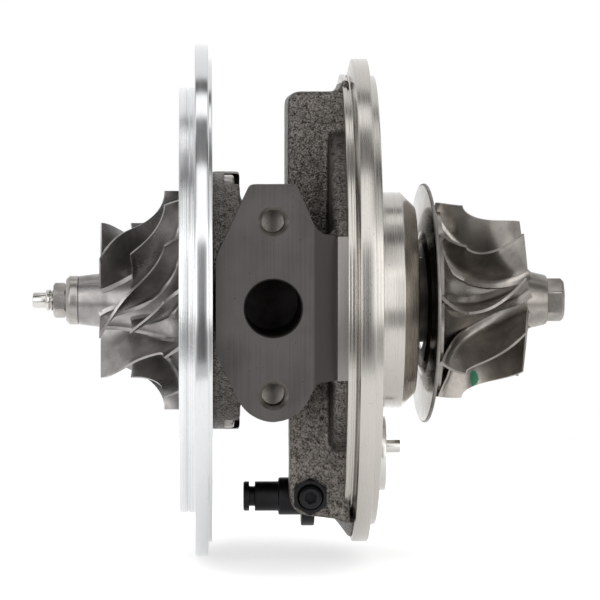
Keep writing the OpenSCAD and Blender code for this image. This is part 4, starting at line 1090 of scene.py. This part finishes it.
@dataclass
class CompressorWheel:
    """Cast aluminium wheel with six full blades and six splitters."""

    back: float = -1.7
    rim: float = -2.6
    edge: float = -21.3
    nose: float = -26.5
    nose_r: float = 5.5
    hub_r: float = 6.1
    outlet_r: float = 25.0
    tip_r: float = 24.85
    inlet_r: float = 17.6
    outlet_h: float = 4.2
    delay: float = 6.8
    inlet_share: float = 0.4
    bore_r: float = 2.52
    blades: int = 6
    root: float = 0.6
    fillet: float = 0.9
    blade_t: float = 0.95
    first_angle: float = -26.6
    wrap: float = 60.0
    inlet_lean: float = -7.0
    outlet_lean: float = 4.0
    rake: float = 4.4

    def hub(self, s: float) -> tuple[float, float]:
        """Gives station and radius of the hub, a quarter ellipse."""
        turn = s * math.pi / 2
        return (self.edge + (self.rim - self.edge) * math.sin(turn),
                self.outlet_r - (self.outlet_r - self.hub_r) * math.cos(turn))

    def shroud(self, s: float) -> tuple[float, float]:
        """Gives station and radius of the blade tips: straight at the inlet, then a quarter ellipse."""
        if s < self.inlet_share:
            return self.edge + self.delay * s / self.inlet_share, self.inlet_r
        turn = (s - self.inlet_share) / (1 - self.inlet_share) * math.pi / 2
        bend = self.rim - self.edge - self.outlet_h - self.delay
        return (self.edge + self.delay + bend * math.sin(turn),
                self.tip_r - (self.tip_r - self.inlet_r) * math.cos(turn))

    def turn(self, x: float) -> float:
        """Gives the angle of a blade at a station: steep at the inlet, steady to the outlet."""
        q = min(1.0, (x - self.edge) / (self.rim - self.edge - self.outlet_h))
        return self.first_angle + self.wrap * (q + 0.8 * q * (1 - q) ** 2)

    def camber(self, s: float, t: float) -> tuple[float, float, float]:
        """Gives station, radius and angle of a point of a blade."""
        hub_x, hub_r = self.hub(s)
        tip_x, tip_r = self.shroud(s)
        lean = s * math.pi / 2
        root_x = hub_x + self.root * math.sin(lean)
        root_r = min(self.tip_r, hub_r) - self.root * math.cos(lean)
        root_lean = (1 - t) * mix(self.inlet_lean, self.outlet_lean, s)
        angle = self.turn(tip_x) + root_lean + self.rake * s ** 3 * (0.5 - t)
        return mix(root_x, tip_x, t), mix(root_r, tip_r, t), angle

    def thickness(self, s: float, t: float) -> float:
        """Gives the thickness of a blade, with a fillet at its root and a thin leading edge."""
        hub, tip = Vector(self.hub(s)), Vector(self.shroud(s))
        height = t * ((tip - hub).length + self.root) - self.root
        lead = min(1.0, 0.55 + s * 9)
        return mix(self.blade_t, 0.55 * self.blade_t, t) * lead + root_fillet(height, self.fillet)

    def splitter_share(self, s: float, t: float) -> float:
        """Gives the share along a full blade of a point of a splitter, whose leading edge stands square."""
        root = math.asin(self.delay / (self.rim - self.edge + self.root)) / (math.pi / 2)
        return mix(mix(root, self.inlet_share, t), 1.0, s)

    def splitter_camber(self, s: float, t: float) -> tuple[float, float, float]:
        """Gives station, radius and angle of a point of a splitter."""
        return self.camber(self.splitter_share(s, t), t)

    def splitter_thickness(self, s: float, t: float) -> float:
        """Gives the thickness of a splitter, with a thin leading edge of its own."""
        return self.thickness(self.splitter_share(s, t), t) * min(1.0, 0.6 + s * 9)

    def build(self) -> None:
        """Builds the wheel and hangs it on the rotor."""
        broken = 0.15
        profile = [(self.nose, self.bore_r), (self.nose, self.nose_r - broken),
                   (self.nose + broken, self.nose_r)]
        profile += [self.hub(i / 28) for i in range(29)]
        profile += [(self.back, self.outlet_r), (self.back, self.bore_r)]
        wheel = turned("compressor_wheel_cast", profile, WHEEL_ALUMINIUM)
        finishes = (WHEEL_ALUMINIUM, EDGE_ALUMINIUM)
        pitch = 360 / self.blades
        others = [-i * pitch for i in range(1, self.blades)]
        full = blade("full_blade", self.camber, self.thickness, (36, 12), finishes)
        half = blade("splitter", self.splitter_camber, self.splitter_thickness, (26, 12), finishes)
        half.data.transform(Matrix.Rotation(math.radians(-pitch / 2), 4, "X"))
        blades = join(copies(full, others) + copies(half, others))
        combine(wheel, blades, Operation.ADD)
        finish_piece(wheel, Body.ROTOR, "wheel_aluminium", "compressor_wheel")


@dataclass
class TurbineWheel:
    """Investment-cast wheel with nine blades and a cast hexagon on its nose."""

    joint: float = 53.2
    joint_r: float = 9.6
    disc: float = 54.3
    disc_r: float = 20.5
    hub_start: float = 55.5
    hub_len: float = 20.0
    hub_r: float = 6.6
    tip_r: float = 22.35
    exducer_r: float = 18.0
    inlet_w: float = 5.0
    shroud_len: float = 13.5
    hex_start: float = 80.1
    end: float = 83.9
    hex_flats: float = 8.7
    hex_turn: float = -22.7
    blades: int = 9
    root: float = 0.7
    fillet: float = 1.6
    blade_t: float = 1.7
    first_angle: float = 2.0
    dip: float = -8.0
    bend: float = 28.0

    def hub(self, s: float, rim: float) -> tuple[float, float]:
        """Gives station and radius of the hub from a rim radius down to the nose."""
        turn = s * math.pi / 2
        return (self.hub_start + self.hub_len * (1 - math.cos(turn)),
                self.hub_r + (rim - self.hub_r) * (1 - math.sin(turn)))

    def shroud(self, s: float) -> tuple[float, float]:
        """Gives station and radius of the blade tips."""
        turn = s * math.pi / 2
        return (self.hub_start + self.inlet_w + self.shroud_len * (1 - math.cos(turn)),
                self.exducer_r + (self.tip_r - self.exducer_r) * (1 - math.sin(turn)))

    def turn(self, x: float) -> float:
        """Gives the angle of a blade at a station: a slight dip, then a bend towards the outlet."""
        u = x - self.hub_start - self.inlet_w - 1.5
        if u > 0:
            return self.first_angle + self.dip + self.bend * (u / (self.shroud_len - 0.5)) ** 2
        return self.first_angle + self.dip - self.dip * (u / (self.inlet_w + 1.5)) ** 2

    def camber(self, s: float, t: float) -> tuple[float, float, float]:
        """Gives station, radius and angle of a point of a blade."""
        hub_x, hub_r = self.hub(s, self.tip_r)
        tip_x, tip_r = self.shroud(s)
        lean = s * math.pi / 2
        x = mix(hub_x - self.root * math.cos(lean), tip_x, t)
        return x, mix(hub_r - self.root * math.sin(lean), tip_r, t), self.turn(x)

    def thickness(self, s: float, t: float) -> float:
        """Gives the thickness of a blade: thin at inlet, tip and outlet, with a fillet at the root."""
        hub, tip = Vector(self.hub(s, self.disc_r)), Vector(self.shroud(s))
        height = t * ((tip - hub).length + self.root) - self.root
        trail = min(1.0, 0.6 + (1 - s) * 5)
        fillet = root_fillet(height, self.fillet) * min(1.0, 6 * s)
        root_t = mix(0.42, 1.0, min(1.0, 5 * s)) * self.blade_t
        return mix(root_t, 0.36 * self.blade_t, t) * trail + fillet

    def nose_hexagon(self) -> bpy.types.Object:
        """Makes the cast hexagon with its corners turned off."""
        corner = self.hex_flats / math.sqrt(3)
        start = self.hex_start - 1
        outline = hexagon(self.hex_flats, self.hex_turn)
        piece = prism("nose_hexagon", outline, start, self.end, Axis.X, WHEEL_NICKEL)
        apply(piece, "BEVEL", width=0.3, segments=2, limit_method="ANGLE")
        dome = [(start, 0.0), (start, corner + 1), (self.end - 0.7, corner - 0.1),
                (self.end, self.hex_flats / 2 - 0.1), (self.end, 0.0)]
        combine(piece, turned("nose_dome", dome, WHEEL_NICKEL, steps=64), Operation.KEEP)
        return piece

    def build(self) -> None:
        """Builds the wheel and hangs it on the rotor."""
        end_r = self.hub_r - 0.9
        profile = [(self.joint, 0.0), (self.joint, self.joint_r), (self.disc, self.joint_r + 0.8),
                   (self.disc, self.disc_r - 0.3), (self.disc + 0.3, self.disc_r)]
        profile += [self.hub(i / 28, self.disc_r) for i in range(29)]
        profile += [(self.hex_start - 0.6, end_r), (self.hex_start - 0.15, end_r - 0.25),
                    (self.hex_start, end_r - 0.7), (self.hex_start, 0.0)]
        wheel = turned("turbine_wheel_cast", profile, WHEEL_NICKEL)
        one = blade("turbine_blade", self.camber, self.thickness, (36, 14), (WHEEL_NICKEL, EDGE_NICKEL))
        others = [-i * 360 / self.blades for i in range(1, self.blades)]
        combine(wheel, join(copies(one, others)), Operation.ADD, crossing=True)
        combine(wheel, self.nose_hexagon(), Operation.ADD)
        finish_piece(wheel, Body.ROTOR, "turbine_alloy", "turbine_wheel")


def cut_thread(piece: bpy.types.Object, start: float, end: float, radius: float, pitch: float, depth: float,
               axis: Axis = Axis.X, at: tuple[float, float] = (0.0, 0.0)) -> None:
    """Presses a helical thread into the plain stretch of a turned piece.

    Args:
        piece: turned piece with rows of points along the stretch.
        start: first station of the thread.
        end: last station of the thread.
        radius: radius over the crests.
        pitch: pitch of the thread.
        depth: depth of the thread.
        axis: direction of the axis.
        at: the axis's other two coordinates.
    """
    for vertex in piece.data.vertices:
        station = vertex.co.x if axis is Axis.X else vertex.co.y
        first = (vertex.co.y if axis is Axis.X else vertex.co.x) - at[0]
        second = vertex.co.z - at[1]
        r = math.hypot(first, second)
        if not start <= station <= end or r < radius - WELD:
            continue
        phase = ((station - start) / pitch + math.atan2(second, first) / math.tau) % 1.0
        runout = min(1.0, (station - start) / pitch, (end - station) / pitch)
        share = 1 - depth * runout * (1 - abs(2 * phase - 1)) / r
        first, second = first * share + at[0], second * share + at[1]
        vertex.co = (station, first, second) if axis is Axis.X else (first, station, second)


def rows(start: float, end: float, radius: float, step: float) -> Profile:
    """Gives points along a plain stretch, close enough together for a thread."""
    count = max(1, round((end - start) / step))
    return [(mix(start, end, i / count), radius) for i in range(count + 1)]


@dataclass
class RotorShaft:
    """Ground shaft with a threaded tip, and the nut that holds the compressor wheel."""

    tip: float = -36.8
    tip_r: float = 1.8
    thread: float = -33.9
    stub_r: float = 2.5
    journal: float = 10.05
    journal_r: float = 4.0
    boss: float = 42.6
    boss_r: float = 8.4
    weld: float = 50.4
    weld_r: float = 9.6
    end: float = 53.2
    ring: tuple[float, float] = (45.6, 47.0)
    pitch: float = 0.8
    nut: float = -32.1
    nut_hex: float = -29.2
    nut_seat: float = -26.5
    nut_flats: float = 7.0
    collar_r: float = 5.55

    def build(self) -> None:
        """Builds the shaft and its nut."""
        groove_r = self.boss_r - 1.5
        groove, groove_end = self.ring
        profile = [(self.tip, 0.0), (self.tip, 0.5), (self.tip + 0.5, 0.7), (self.tip, 0.9),
                   (self.tip, self.tip_r - 0.35), (self.tip + 0.1, self.tip_r - 0.12),
                   (self.tip + 0.35, self.tip_r), (self.thread, self.tip_r),
                   (self.thread + 0.05, self.stub_r - 0.4)]
        profile += rows(self.thread + 0.4, self.nut_seat, self.stub_r, self.pitch / 8)
        profile += [(self.journal, self.stub_r), (self.journal, self.journal_r), (self.boss, self.journal_r),
                    (self.boss, self.boss_r - 0.5), (self.boss + 0.5, self.boss_r), (groove, self.boss_r),
                    (groove, groove_r), (groove_end, groove_r), (groove_end, self.boss_r),
                    (self.weld, self.boss_r), (self.weld, self.weld_r - 0.3),
                    (self.weld + 0.3, self.weld_r), (self.end, self.weld_r), (self.end, 0.0)]
        shaft = turned("rotor_shaft_ground", profile, GROUND_STEEL, steps=64)
        cut_thread(shaft, self.thread + 0.35, self.nut_seat, self.stub_r, self.pitch, 0.42)
        # painted shade: the shaft past the ring groove is coloured near black, where it lies in shadow behind
        # the heat shield
        shaft.data.materials.append(SHADOWED_SHAFT_STEEL.material())
        for polygon in shaft.data.polygons:
            polygon.material_index = 1 if polygon.center.x > groove_end else 0
        finish_piece(shaft, Body.ROTOR, "plain_steel", "rotor_shaft")
        finish_piece(self.make_nut(), Body.ROTOR, "plain_steel", "compressor_nut")

    def make_nut(self) -> bpy.types.Object:
        """Makes the nut: a hexagon with turned-off corners on a round collar."""
        corner = self.nut_flats / math.sqrt(3)
        flat = self.nut_flats / 2
        bore = self.stub_r + PLAY
        end = self.nut_hex + 1
        outline = hexagon(self.nut_flats, 30)
        piece = prism("compressor_nut_turned", outline, self.nut, end, Axis.X, PLATED_STEEL)
        cone = [(self.nut, 0.0), (self.nut, flat - 0.05), (self.nut + 0.45, corner - 0.08),
                (self.nut_hex - 0.4, corner - 0.08), (self.nut_hex - 0.1, flat + 0.1), (end, flat),
                (end, 0.0)]
        combine(piece, turned("nut_cone", cone, PLATED_STEEL, steps=64), Operation.KEEP)
        collar = rounded([(self.nut_hex, 0.0, 0), (self.nut_hex, self.collar_r - 0.8, 0.2),
                          (self.nut_hex + 0.8, self.collar_r, 0.25), (self.nut_seat, self.collar_r, 0.15),
                          (self.nut_seat, 0.0, 0)])
        combine(piece, turned("nut_collar", collar, PLATED_STEEL), Operation.ADD)
        sink, past = 0.4, 1.0
        hole = [(self.nut - past, 0.0), (self.nut - past, bore + sink), (self.nut, bore + sink),
                (self.nut + sink, bore), (self.nut_seat + past, bore), (self.nut_seat + past, 0.0)]
        combine(piece, turned("nut_hole", hole, PLATED_STEEL, steps=48), Operation.CUT)
        return piece


@dataclass
class HeatShield:
    """Thin polished disc with a dished middle that hangs loose on the shaft."""

    x: float = 52.1
    drop: float = 0.7
    tilt: float = 4.2
    rim_r: float = 27.2
    hole_r: float = 10.4
    sheet: float = 0.8
    dish: float = 0.6

    def build(self) -> None:
        """Builds the shield where it hangs."""
        half, edge, bend = self.sheet / 2, self.sheet * 0.45, 1.5
        hole, rim = self.hole_r, self.rim_r
        dish_r, flat_r = hole + 4, hole + 6
        corners = [(-half - self.dish, hole, edge), (-half - self.dish, dish_r, bend), (-half, flat_r, bend),
                   (-half, rim, edge), (half, rim, edge), (half, flat_r, bend),
                   (half - self.dish, dish_r, bend), (half - self.dish, hole, edge)]
        shield = turned("heat_shield_pressed", rounded(corners, 5), ROLLED_SHEET, steps=192)
        shield.data.materials.append(SHEARED_EDGE.material())
        for polygon in shield.data.polygons:
            outwards = math.hypot(polygon.center.y, polygon.center.z) > rim - edge
            polygon.material_index = 1 if outwards else 0
        hang = Matrix.Translation((self.x, 0, -self.drop)) @ Matrix.Rotation(math.radians(self.tilt), 4, "Z")
        shield.data.transform(hang)
        finish_piece(shield, Body.HOUSING, "shield_sheet", "heat_shield")


@dataclass
class VaneCrank:
    """Crank through the turbine flange: disc, spindle and eccentric pin, with lever and rod pin outside."""

    at: tuple[float, float] = CRANK_AT
    lever: float = 23.9
    lever_back: float = 26.9
    lever_len: float = 12.5
    lever_turn: float = 44.0
    hub_r: float = 6.0
    end_r: float = 6.7
    disc: float = 41.0
    disc_t: float = 2.4
    disc_r: float = 8.5
    spindle_r: float = 3.0
    rivet_r: float = 2.4
    throw: float = 5.9
    pin_turn: float = 20.0
    pin_r: float = 1.5
    pin_h: float = 3.2
    # Stations of the rod pin's tip, groove, plain stretch and collar
    rod_pin: tuple[float, float, float, float] = (10.9, 12.2, 13.5, 18.8)
    rod_pin_r: float = 3.35
    collar_r: float = 4.25
    groove_r: float = 2.25

    def build(self) -> None:
        """Builds the crank, its pin, the lever and the rod pin."""
        crank = rounded([(self.lever - 0.6, 0.0, 0), (self.lever - 0.6, self.rivet_r, 0.4),
                         (self.lever_back, self.rivet_r, 0), (self.lever_back, self.spindle_r, 0.1),
                         (self.disc, self.spindle_r, 0), (self.disc, self.disc_r, 0.3),
                         (self.disc + self.disc_t, self.disc_r, 0.3), (self.disc + self.disc_t, 0.0, 0)])
        finish_piece(turned("vane_crank_turned", crank, GROUND_STEEL, Axis.X, self.at), Body.CRANK,
                     "plain_steel", "vane_crank")
        turn = math.radians(self.pin_turn)
        pin_at = (self.at[0] - self.throw * math.cos(turn), self.at[1] + self.throw * math.sin(turn))
        end = self.disc + self.disc_t + self.pin_h
        pin = rounded([(self.disc + 0.55, 0.0, 0), (self.disc + 0.55, self.pin_r, 0), (end, self.pin_r, 0.25),
                       (end, 0.0, 0)])
        finish_piece(turned("vane_crank_pin_ground", pin, GROUND_STEEL, Axis.X, pin_at, 64), Body.CRANK,
                     "plain_steel", "vane_crank_pin")
        finish_piece(self.make_lever(), Body.CRANK, "black_steel", "actuator_lever")
        finish_piece(self.make_rod_pin(), Body.CRANK, "black_steel", "actuator_pin")

    def rod_pin_at(self) -> tuple[float, float]:
        """Gives Y and Z of the rod pin's axis."""
        turn = math.radians(self.lever_turn)
        return self.at[0] - self.lever_len * math.sin(turn), self.at[1] - self.lever_len * math.cos(turn)

    def make_lever(self) -> bpy.types.Object:
        """Makes the lever: a stamped plate with two round ends and broken edges."""
        towards = 270 - self.lever_turn
        reach = 87
        end = self.rod_pin_at()
        outline = arc(*end, self.end_r, towards - reach, towards + reach, 18)
        outline += arc(*self.at, self.hub_r, towards + reach, towards + 360 - reach, 18)
        piece = prism("actuator_lever_stamped", outline, self.lever, self.lever_back, Axis.X, BLACK_STEEL)
        hole_r = self.rivet_r + PLAY
        for at in (self.at, end):
            hole = rod("rivet_hole", self.lever - 1, self.lever_back + 1, hole_r, BLACK_STEEL, Axis.X, at)
            combine(piece, hole, Operation.CUT)
        apply(piece, "BEVEL", width=0.3, segments=3, limit_method="ANGLE", angle_limit=math.radians(50))
        return piece

    def make_rod_pin(self) -> bpy.types.Object:
        """Turns the rod pin: a head, the clip groove, the plain pin, the collar and the rivet."""
        tip, head, body, collar = self.rod_pin
        corners = [(tip, 0.0, 0), (tip, self.rod_pin_r, 0.45), (head, self.rod_pin_r, 0.12),
                   (head, self.groove_r, 0.25), (body, self.groove_r, 0.25), (body, self.rod_pin_r, 0.15),
                   (collar, self.rod_pin_r, 0.3), (collar, self.collar_r, 0.45),
                   (self.lever, self.collar_r, 0.3), (self.lever, self.rivet_r, 0),
                   (self.lever_back, self.rivet_r, 0.3), (self.lever_back, 0.0, 0)]
        return turned("actuator_pin_turned", rounded(corners), BLACK_STEEL, Axis.X, self.rod_pin_at(), 96)


@dataclass
class StopScrew:
    """Socket set screw with its lock nut, set in the wall in front of the lever."""

    at: tuple[float, float] = STOP_AT
    tip: float = -12.783
    wall: float = STOP_WALL
    nut_h: float = 3.0
    proud: float = 2.0
    radius: float = 2.5
    pitch: float = 0.8
    nut_flats: float = 7.2
    socket_flats: float = 2.5

    def build(self) -> None:
        """Builds the screw and its nut."""
        end = self.wall - self.nut_h - self.proud
        profile = [(end, 0.0), (end, self.radius - 0.5)]
        profile += rows(end + 0.4, self.wall, self.radius, self.pitch / 8)
        profile += [(self.tip - 0.3, self.radius), (self.tip, self.radius - 0.3), (self.tip, 0.0)]
        screw = turned("stop_screw_threaded", profile, BLACK_STEEL, Axis.Y, self.at, 64)
        cut_thread(screw, end + 0.3, self.wall, self.radius, self.pitch, 0.4, Axis.Y, self.at)
        outline = hexagon(self.socket_flats, 20, self.at)
        socket = prism("socket", outline, end - 1, end + 2.5, Axis.Y, BLACK_STEEL)
        combine(screw, socket, Operation.CUT)
        finish_piece(screw, Body.HOUSING, "black_steel", "stop_screw")
        finish_piece(self.make_nut(), Body.HOUSING, "black_steel", "stop_screw_nut")

    def make_nut(self) -> bpy.types.Object:
        """Makes the lock nut, chamfered on both faces, with a countersunk hole."""
        front, back = self.wall - self.nut_h, self.wall
        corner = self.nut_flats / math.sqrt(3)
        flat = self.nut_flats / 2 - 0.05
        sink, past = 0.4, 1.0
        outline = hexagon(self.nut_flats, 30, self.at)
        nut = prism("stop_screw_lock_nut", outline, front, back, Axis.Y, BLACK_STEEL)
        dome = [(front, 0.0), (front, flat), (front + sink, corner - 0.05), (back - sink, corner - 0.05),
                (back, flat), (back, 0.0)]
        combine(nut, turned("nut_dome", dome, BLACK_STEEL, Axis.Y, self.at, 64), Operation.KEEP)
        bore = self.radius + PLAY
        hole = [(front - past, 0.0), (front - past, bore + sink), (front, bore + sink), (front + sink, bore),
                (back + past, bore), (back + past, 0.0)]
        combine(nut, turned("nut_hole", hole, BLACK_STEEL, Axis.Y, self.at, 48), Operation.CUT)
        return nut


@dataclass
class InnerParts:
    """Pieces inside the cartridge, which keep the shape of the frame and get their real finish."""

    bronze: tuple[str, ...] = ("thrust_bearing", "journal_bearing_compressor", "journal_bearing_turbine",
                               "crank_bushing")
    steel: tuple[str, ...] = ("thrust_bearing_pins", "oil_deflector", "bearing_circlips", "thrust_collar",
                              "oil_slinger")
    iron: tuple[str, ...] = ("compressor_seal_ring", "turbine_seal_ring")
    rubber: tuple[str, ...] = ("seal_plate_o_ring",)

    def build(self) -> None:
        """Gives each inner piece its finish."""
        pairs = ((self.bronze, BRONZE), (self.steel, GROUND_STEEL), (self.iron, RING_IRON),
                 (self.rubber, RUBBER))
        for names, finish in pairs:
            for name in names:
                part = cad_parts[name]
                part.data.materials.clear()
                part.data.materials.append(finish.material())
                LOG.info("%s: %s", name, finish.name)


def strips(tree: bpy.types.NodeTree, share: bpy.types.NodeSocket, stops: Stops) -> bpy.types.NodeSocket:
    """Gives the light of strips that lie round the object.

    Args:
        tree: node tree of the room.
        share: share of a turn round the rotor axis, from straight behind over below to behind again.
        stops: angle up from the camera's side in degrees, and the light there.

    Returns:
        The light as a colour.
    """
    ramp = add_node(tree, "ShaderNodeValToRGB", {"Fac": share})
    elements = ramp.color_ramp.elements
    for degrees, _ in stops[1:-1]:
        elements.new((degrees + 180) / 360)
    for element, (degrees, light) in zip(elements, stops):
        element.position = (degrees + 180) / 360
        element.color = (light, light, light, 1.0)
    return ramp.outputs["Color"]


@dataclass
class Studio:
    """White board, strip lights along the rotor axis and a long lens in front of the drain face."""

    floor_at: tuple[float, float, float] = (23.5, 115.0, -58.1)
    floor_r: float = 240.0
    # Angle up from the camera's side in degrees and the light there, straight round the rotor axis
    middle: Stops = ((-180, 1.1), (-90, 0.9), (-27, 0.7), (-24, 0.12), (-6, 0.12), (-2, 0.26), (26, 0.33),
                     (30, 1.6), (62, 1.6), (66, 0.28), (89, 0.22), (93, 1.6), (105, 1.6), (109, 0.12),
                     (116, 0.12), (121, 1.0), (180, 1.1))
    # The same for the cards past the two ends of the rotor
    ends: Stops = ((-180, 0.8), (-27, 0.8), (-20, 0.75), (-13, 0.6), (-5, 2.3), (30, 2.3), (39, 0.9),
                   (50, 0.5), (60, 0.1), (76, 0.1), (84, 1.1), (93, 1.1), (100, 0.15), (106, 0.15),
                   (112, 0.95), (180, 0.8))
    # Share of a direction along the rotor axis where the cards begin and where they are full
    cards: tuple[float, float] = (0.13, 0.24)
    overhead_at: tuple[float, float, float] = (0.0, -60.0, 700.0)
    overhead_size: float = 900.0
    overhead_power: float = 4.4
    camera_at: tuple[float, float, float] = (0.0, -864.0, 34.0)
    aim_at: tuple[float, float, float] = (23.9, 0.0, 0.0)
    lens: float = 228.0
    sensor: float = 36.0

    def build(self) -> None:
        """Builds floor, surroundings, lights and camera."""
        self.make_floor()
        self.make_surroundings()
        self.make_light()
        self.make_camera()
        bpy.context.scene.view_settings.view_transform = "Standard"

    def make_floor(self) -> None:
        """Makes the round white board that the object stands on."""
        bpy.ops.object.select_all(action="DESELECT")
        bpy.ops.mesh.primitive_circle_add(vertices=128, radius=self.floor_r * MM, fill_type="NGON",
                                          location=Vector(self.floor_at) * MM)
        board = bpy.context.object
        board.name = "floor_board"
        board.data.materials.append(PALE_BOARD.material())

    def make_surroundings(self) -> None:
        """Makes the room: strips of light and dark along X, a card at either end and a white backdrop."""
        world = bpy.data.worlds.new("studio")
        bpy.context.scene.world = world
        world.use_nodes = True
        tree = world.node_tree
        tree.nodes.clear()
        way = add_node(tree, "ShaderNodeTexCoord", {}).outputs["Generated"]
        parts = add_node(tree, "ShaderNodeSeparateXYZ", {0: way})
        front = add_node(tree, "ShaderNodeMath", {0: parts.outputs["Y"], 1: -1.0}, operation="MULTIPLY")
        angle = add_node(tree, "ShaderNodeMath", {
            0: parts.outputs["Z"], 1: front.outputs[0]}, operation="ARCTAN2")
        share = add_node(tree, "ShaderNodeMapRange", {
            "Value": angle.outputs[0], "From Min": -math.pi, "From Max": math.pi})
        middle = strips(tree, share.outputs[0], self.middle)
        ends = strips(tree, share.outputs[0], self.ends)
        aside = add_node(tree, "ShaderNodeMath", {0: parts.outputs["X"]}, operation="ABSOLUTE")
        end = add_node(tree, "ShaderNodeMapRange", {
            "Value": aside.outputs[0], "From Min": self.cards[0], "From Max": self.cards[1]})
        light = add_node(tree, "ShaderNodeMix", {0: end.outputs[0], 6: middle, 7: ends}, data_type="RGBA")
        room = add_node(tree, "ShaderNodeBackground", {"Color": light.outputs[2], "Strength": 1.0})
        backdrop = add_node(tree, "ShaderNodeBackground", {"Color": (1.0, 1.0, 1.0, 1.0), "Strength": 1.0})
        seen = add_node(tree, "ShaderNodeLightPath", {}).outputs["Is Camera Ray"]
        both = add_node(tree, "ShaderNodeMixShader", {0: seen, 1: room.outputs[0], 2: backdrop.outputs[0]})
        add_node(tree, "ShaderNodeOutputWorld", {"Surface": both.outputs[0]})

    def make_light(self) -> None:
        """Makes the soft overhead light, which faces the object's middle and shows in no reflection."""
        bpy.ops.object.select_all(action="DESELECT")
        bpy.ops.object.light_add(type="AREA", location=Vector(self.overhead_at) * MM)
        light = bpy.context.object
        light.name = "overhead"
        light.visible_glossy = False
        light.data.size = self.overhead_size * MM
        light.data.energy = self.overhead_power
        self.face_middle(light, self.overhead_at)

    def face_middle(self, piece: bpy.types.Object, at: tuple[float, float, float]) -> None:
        """Turns a light or the camera from its place to the middle of the object."""
        piece.rotation_mode = "QUATERNION"
        piece.rotation_quaternion = (Vector(self.aim_at) - Vector(at)).to_track_quat("-Z", "Y")

    def make_camera(self) -> None:
        """Makes the camera and sets it as the scene's own."""
        bpy.ops.object.camera_add(location=Vector(self.camera_at) * MM)
        camera = bpy.context.object
        camera.name = "photo_camera"
        camera.data.lens = self.lens
        camera.data.sensor_width = self.sensor
        camera.data.clip_start = 0.05
        self.face_middle(camera, self.camera_at)
        bpy.context.scene.camera = camera


def main() -> None:
    """Builds every sub-assembly in order, then the studio round them."""
    logging.basicConfig(level=logging.INFO, format="%(name)s %(message)s")
    parts = (BearingHousing(), SealPlate(), CompressorWheel(), TurbineWheel(), RotorShaft(), HeatShield(),
             VaneCrank(), StopScrew(), InnerParts(), Studio())
    for part in parts:
        LOG.info("building %s", type(part).__name__)
        part.build()


if __name__ == "__main__":
    main()
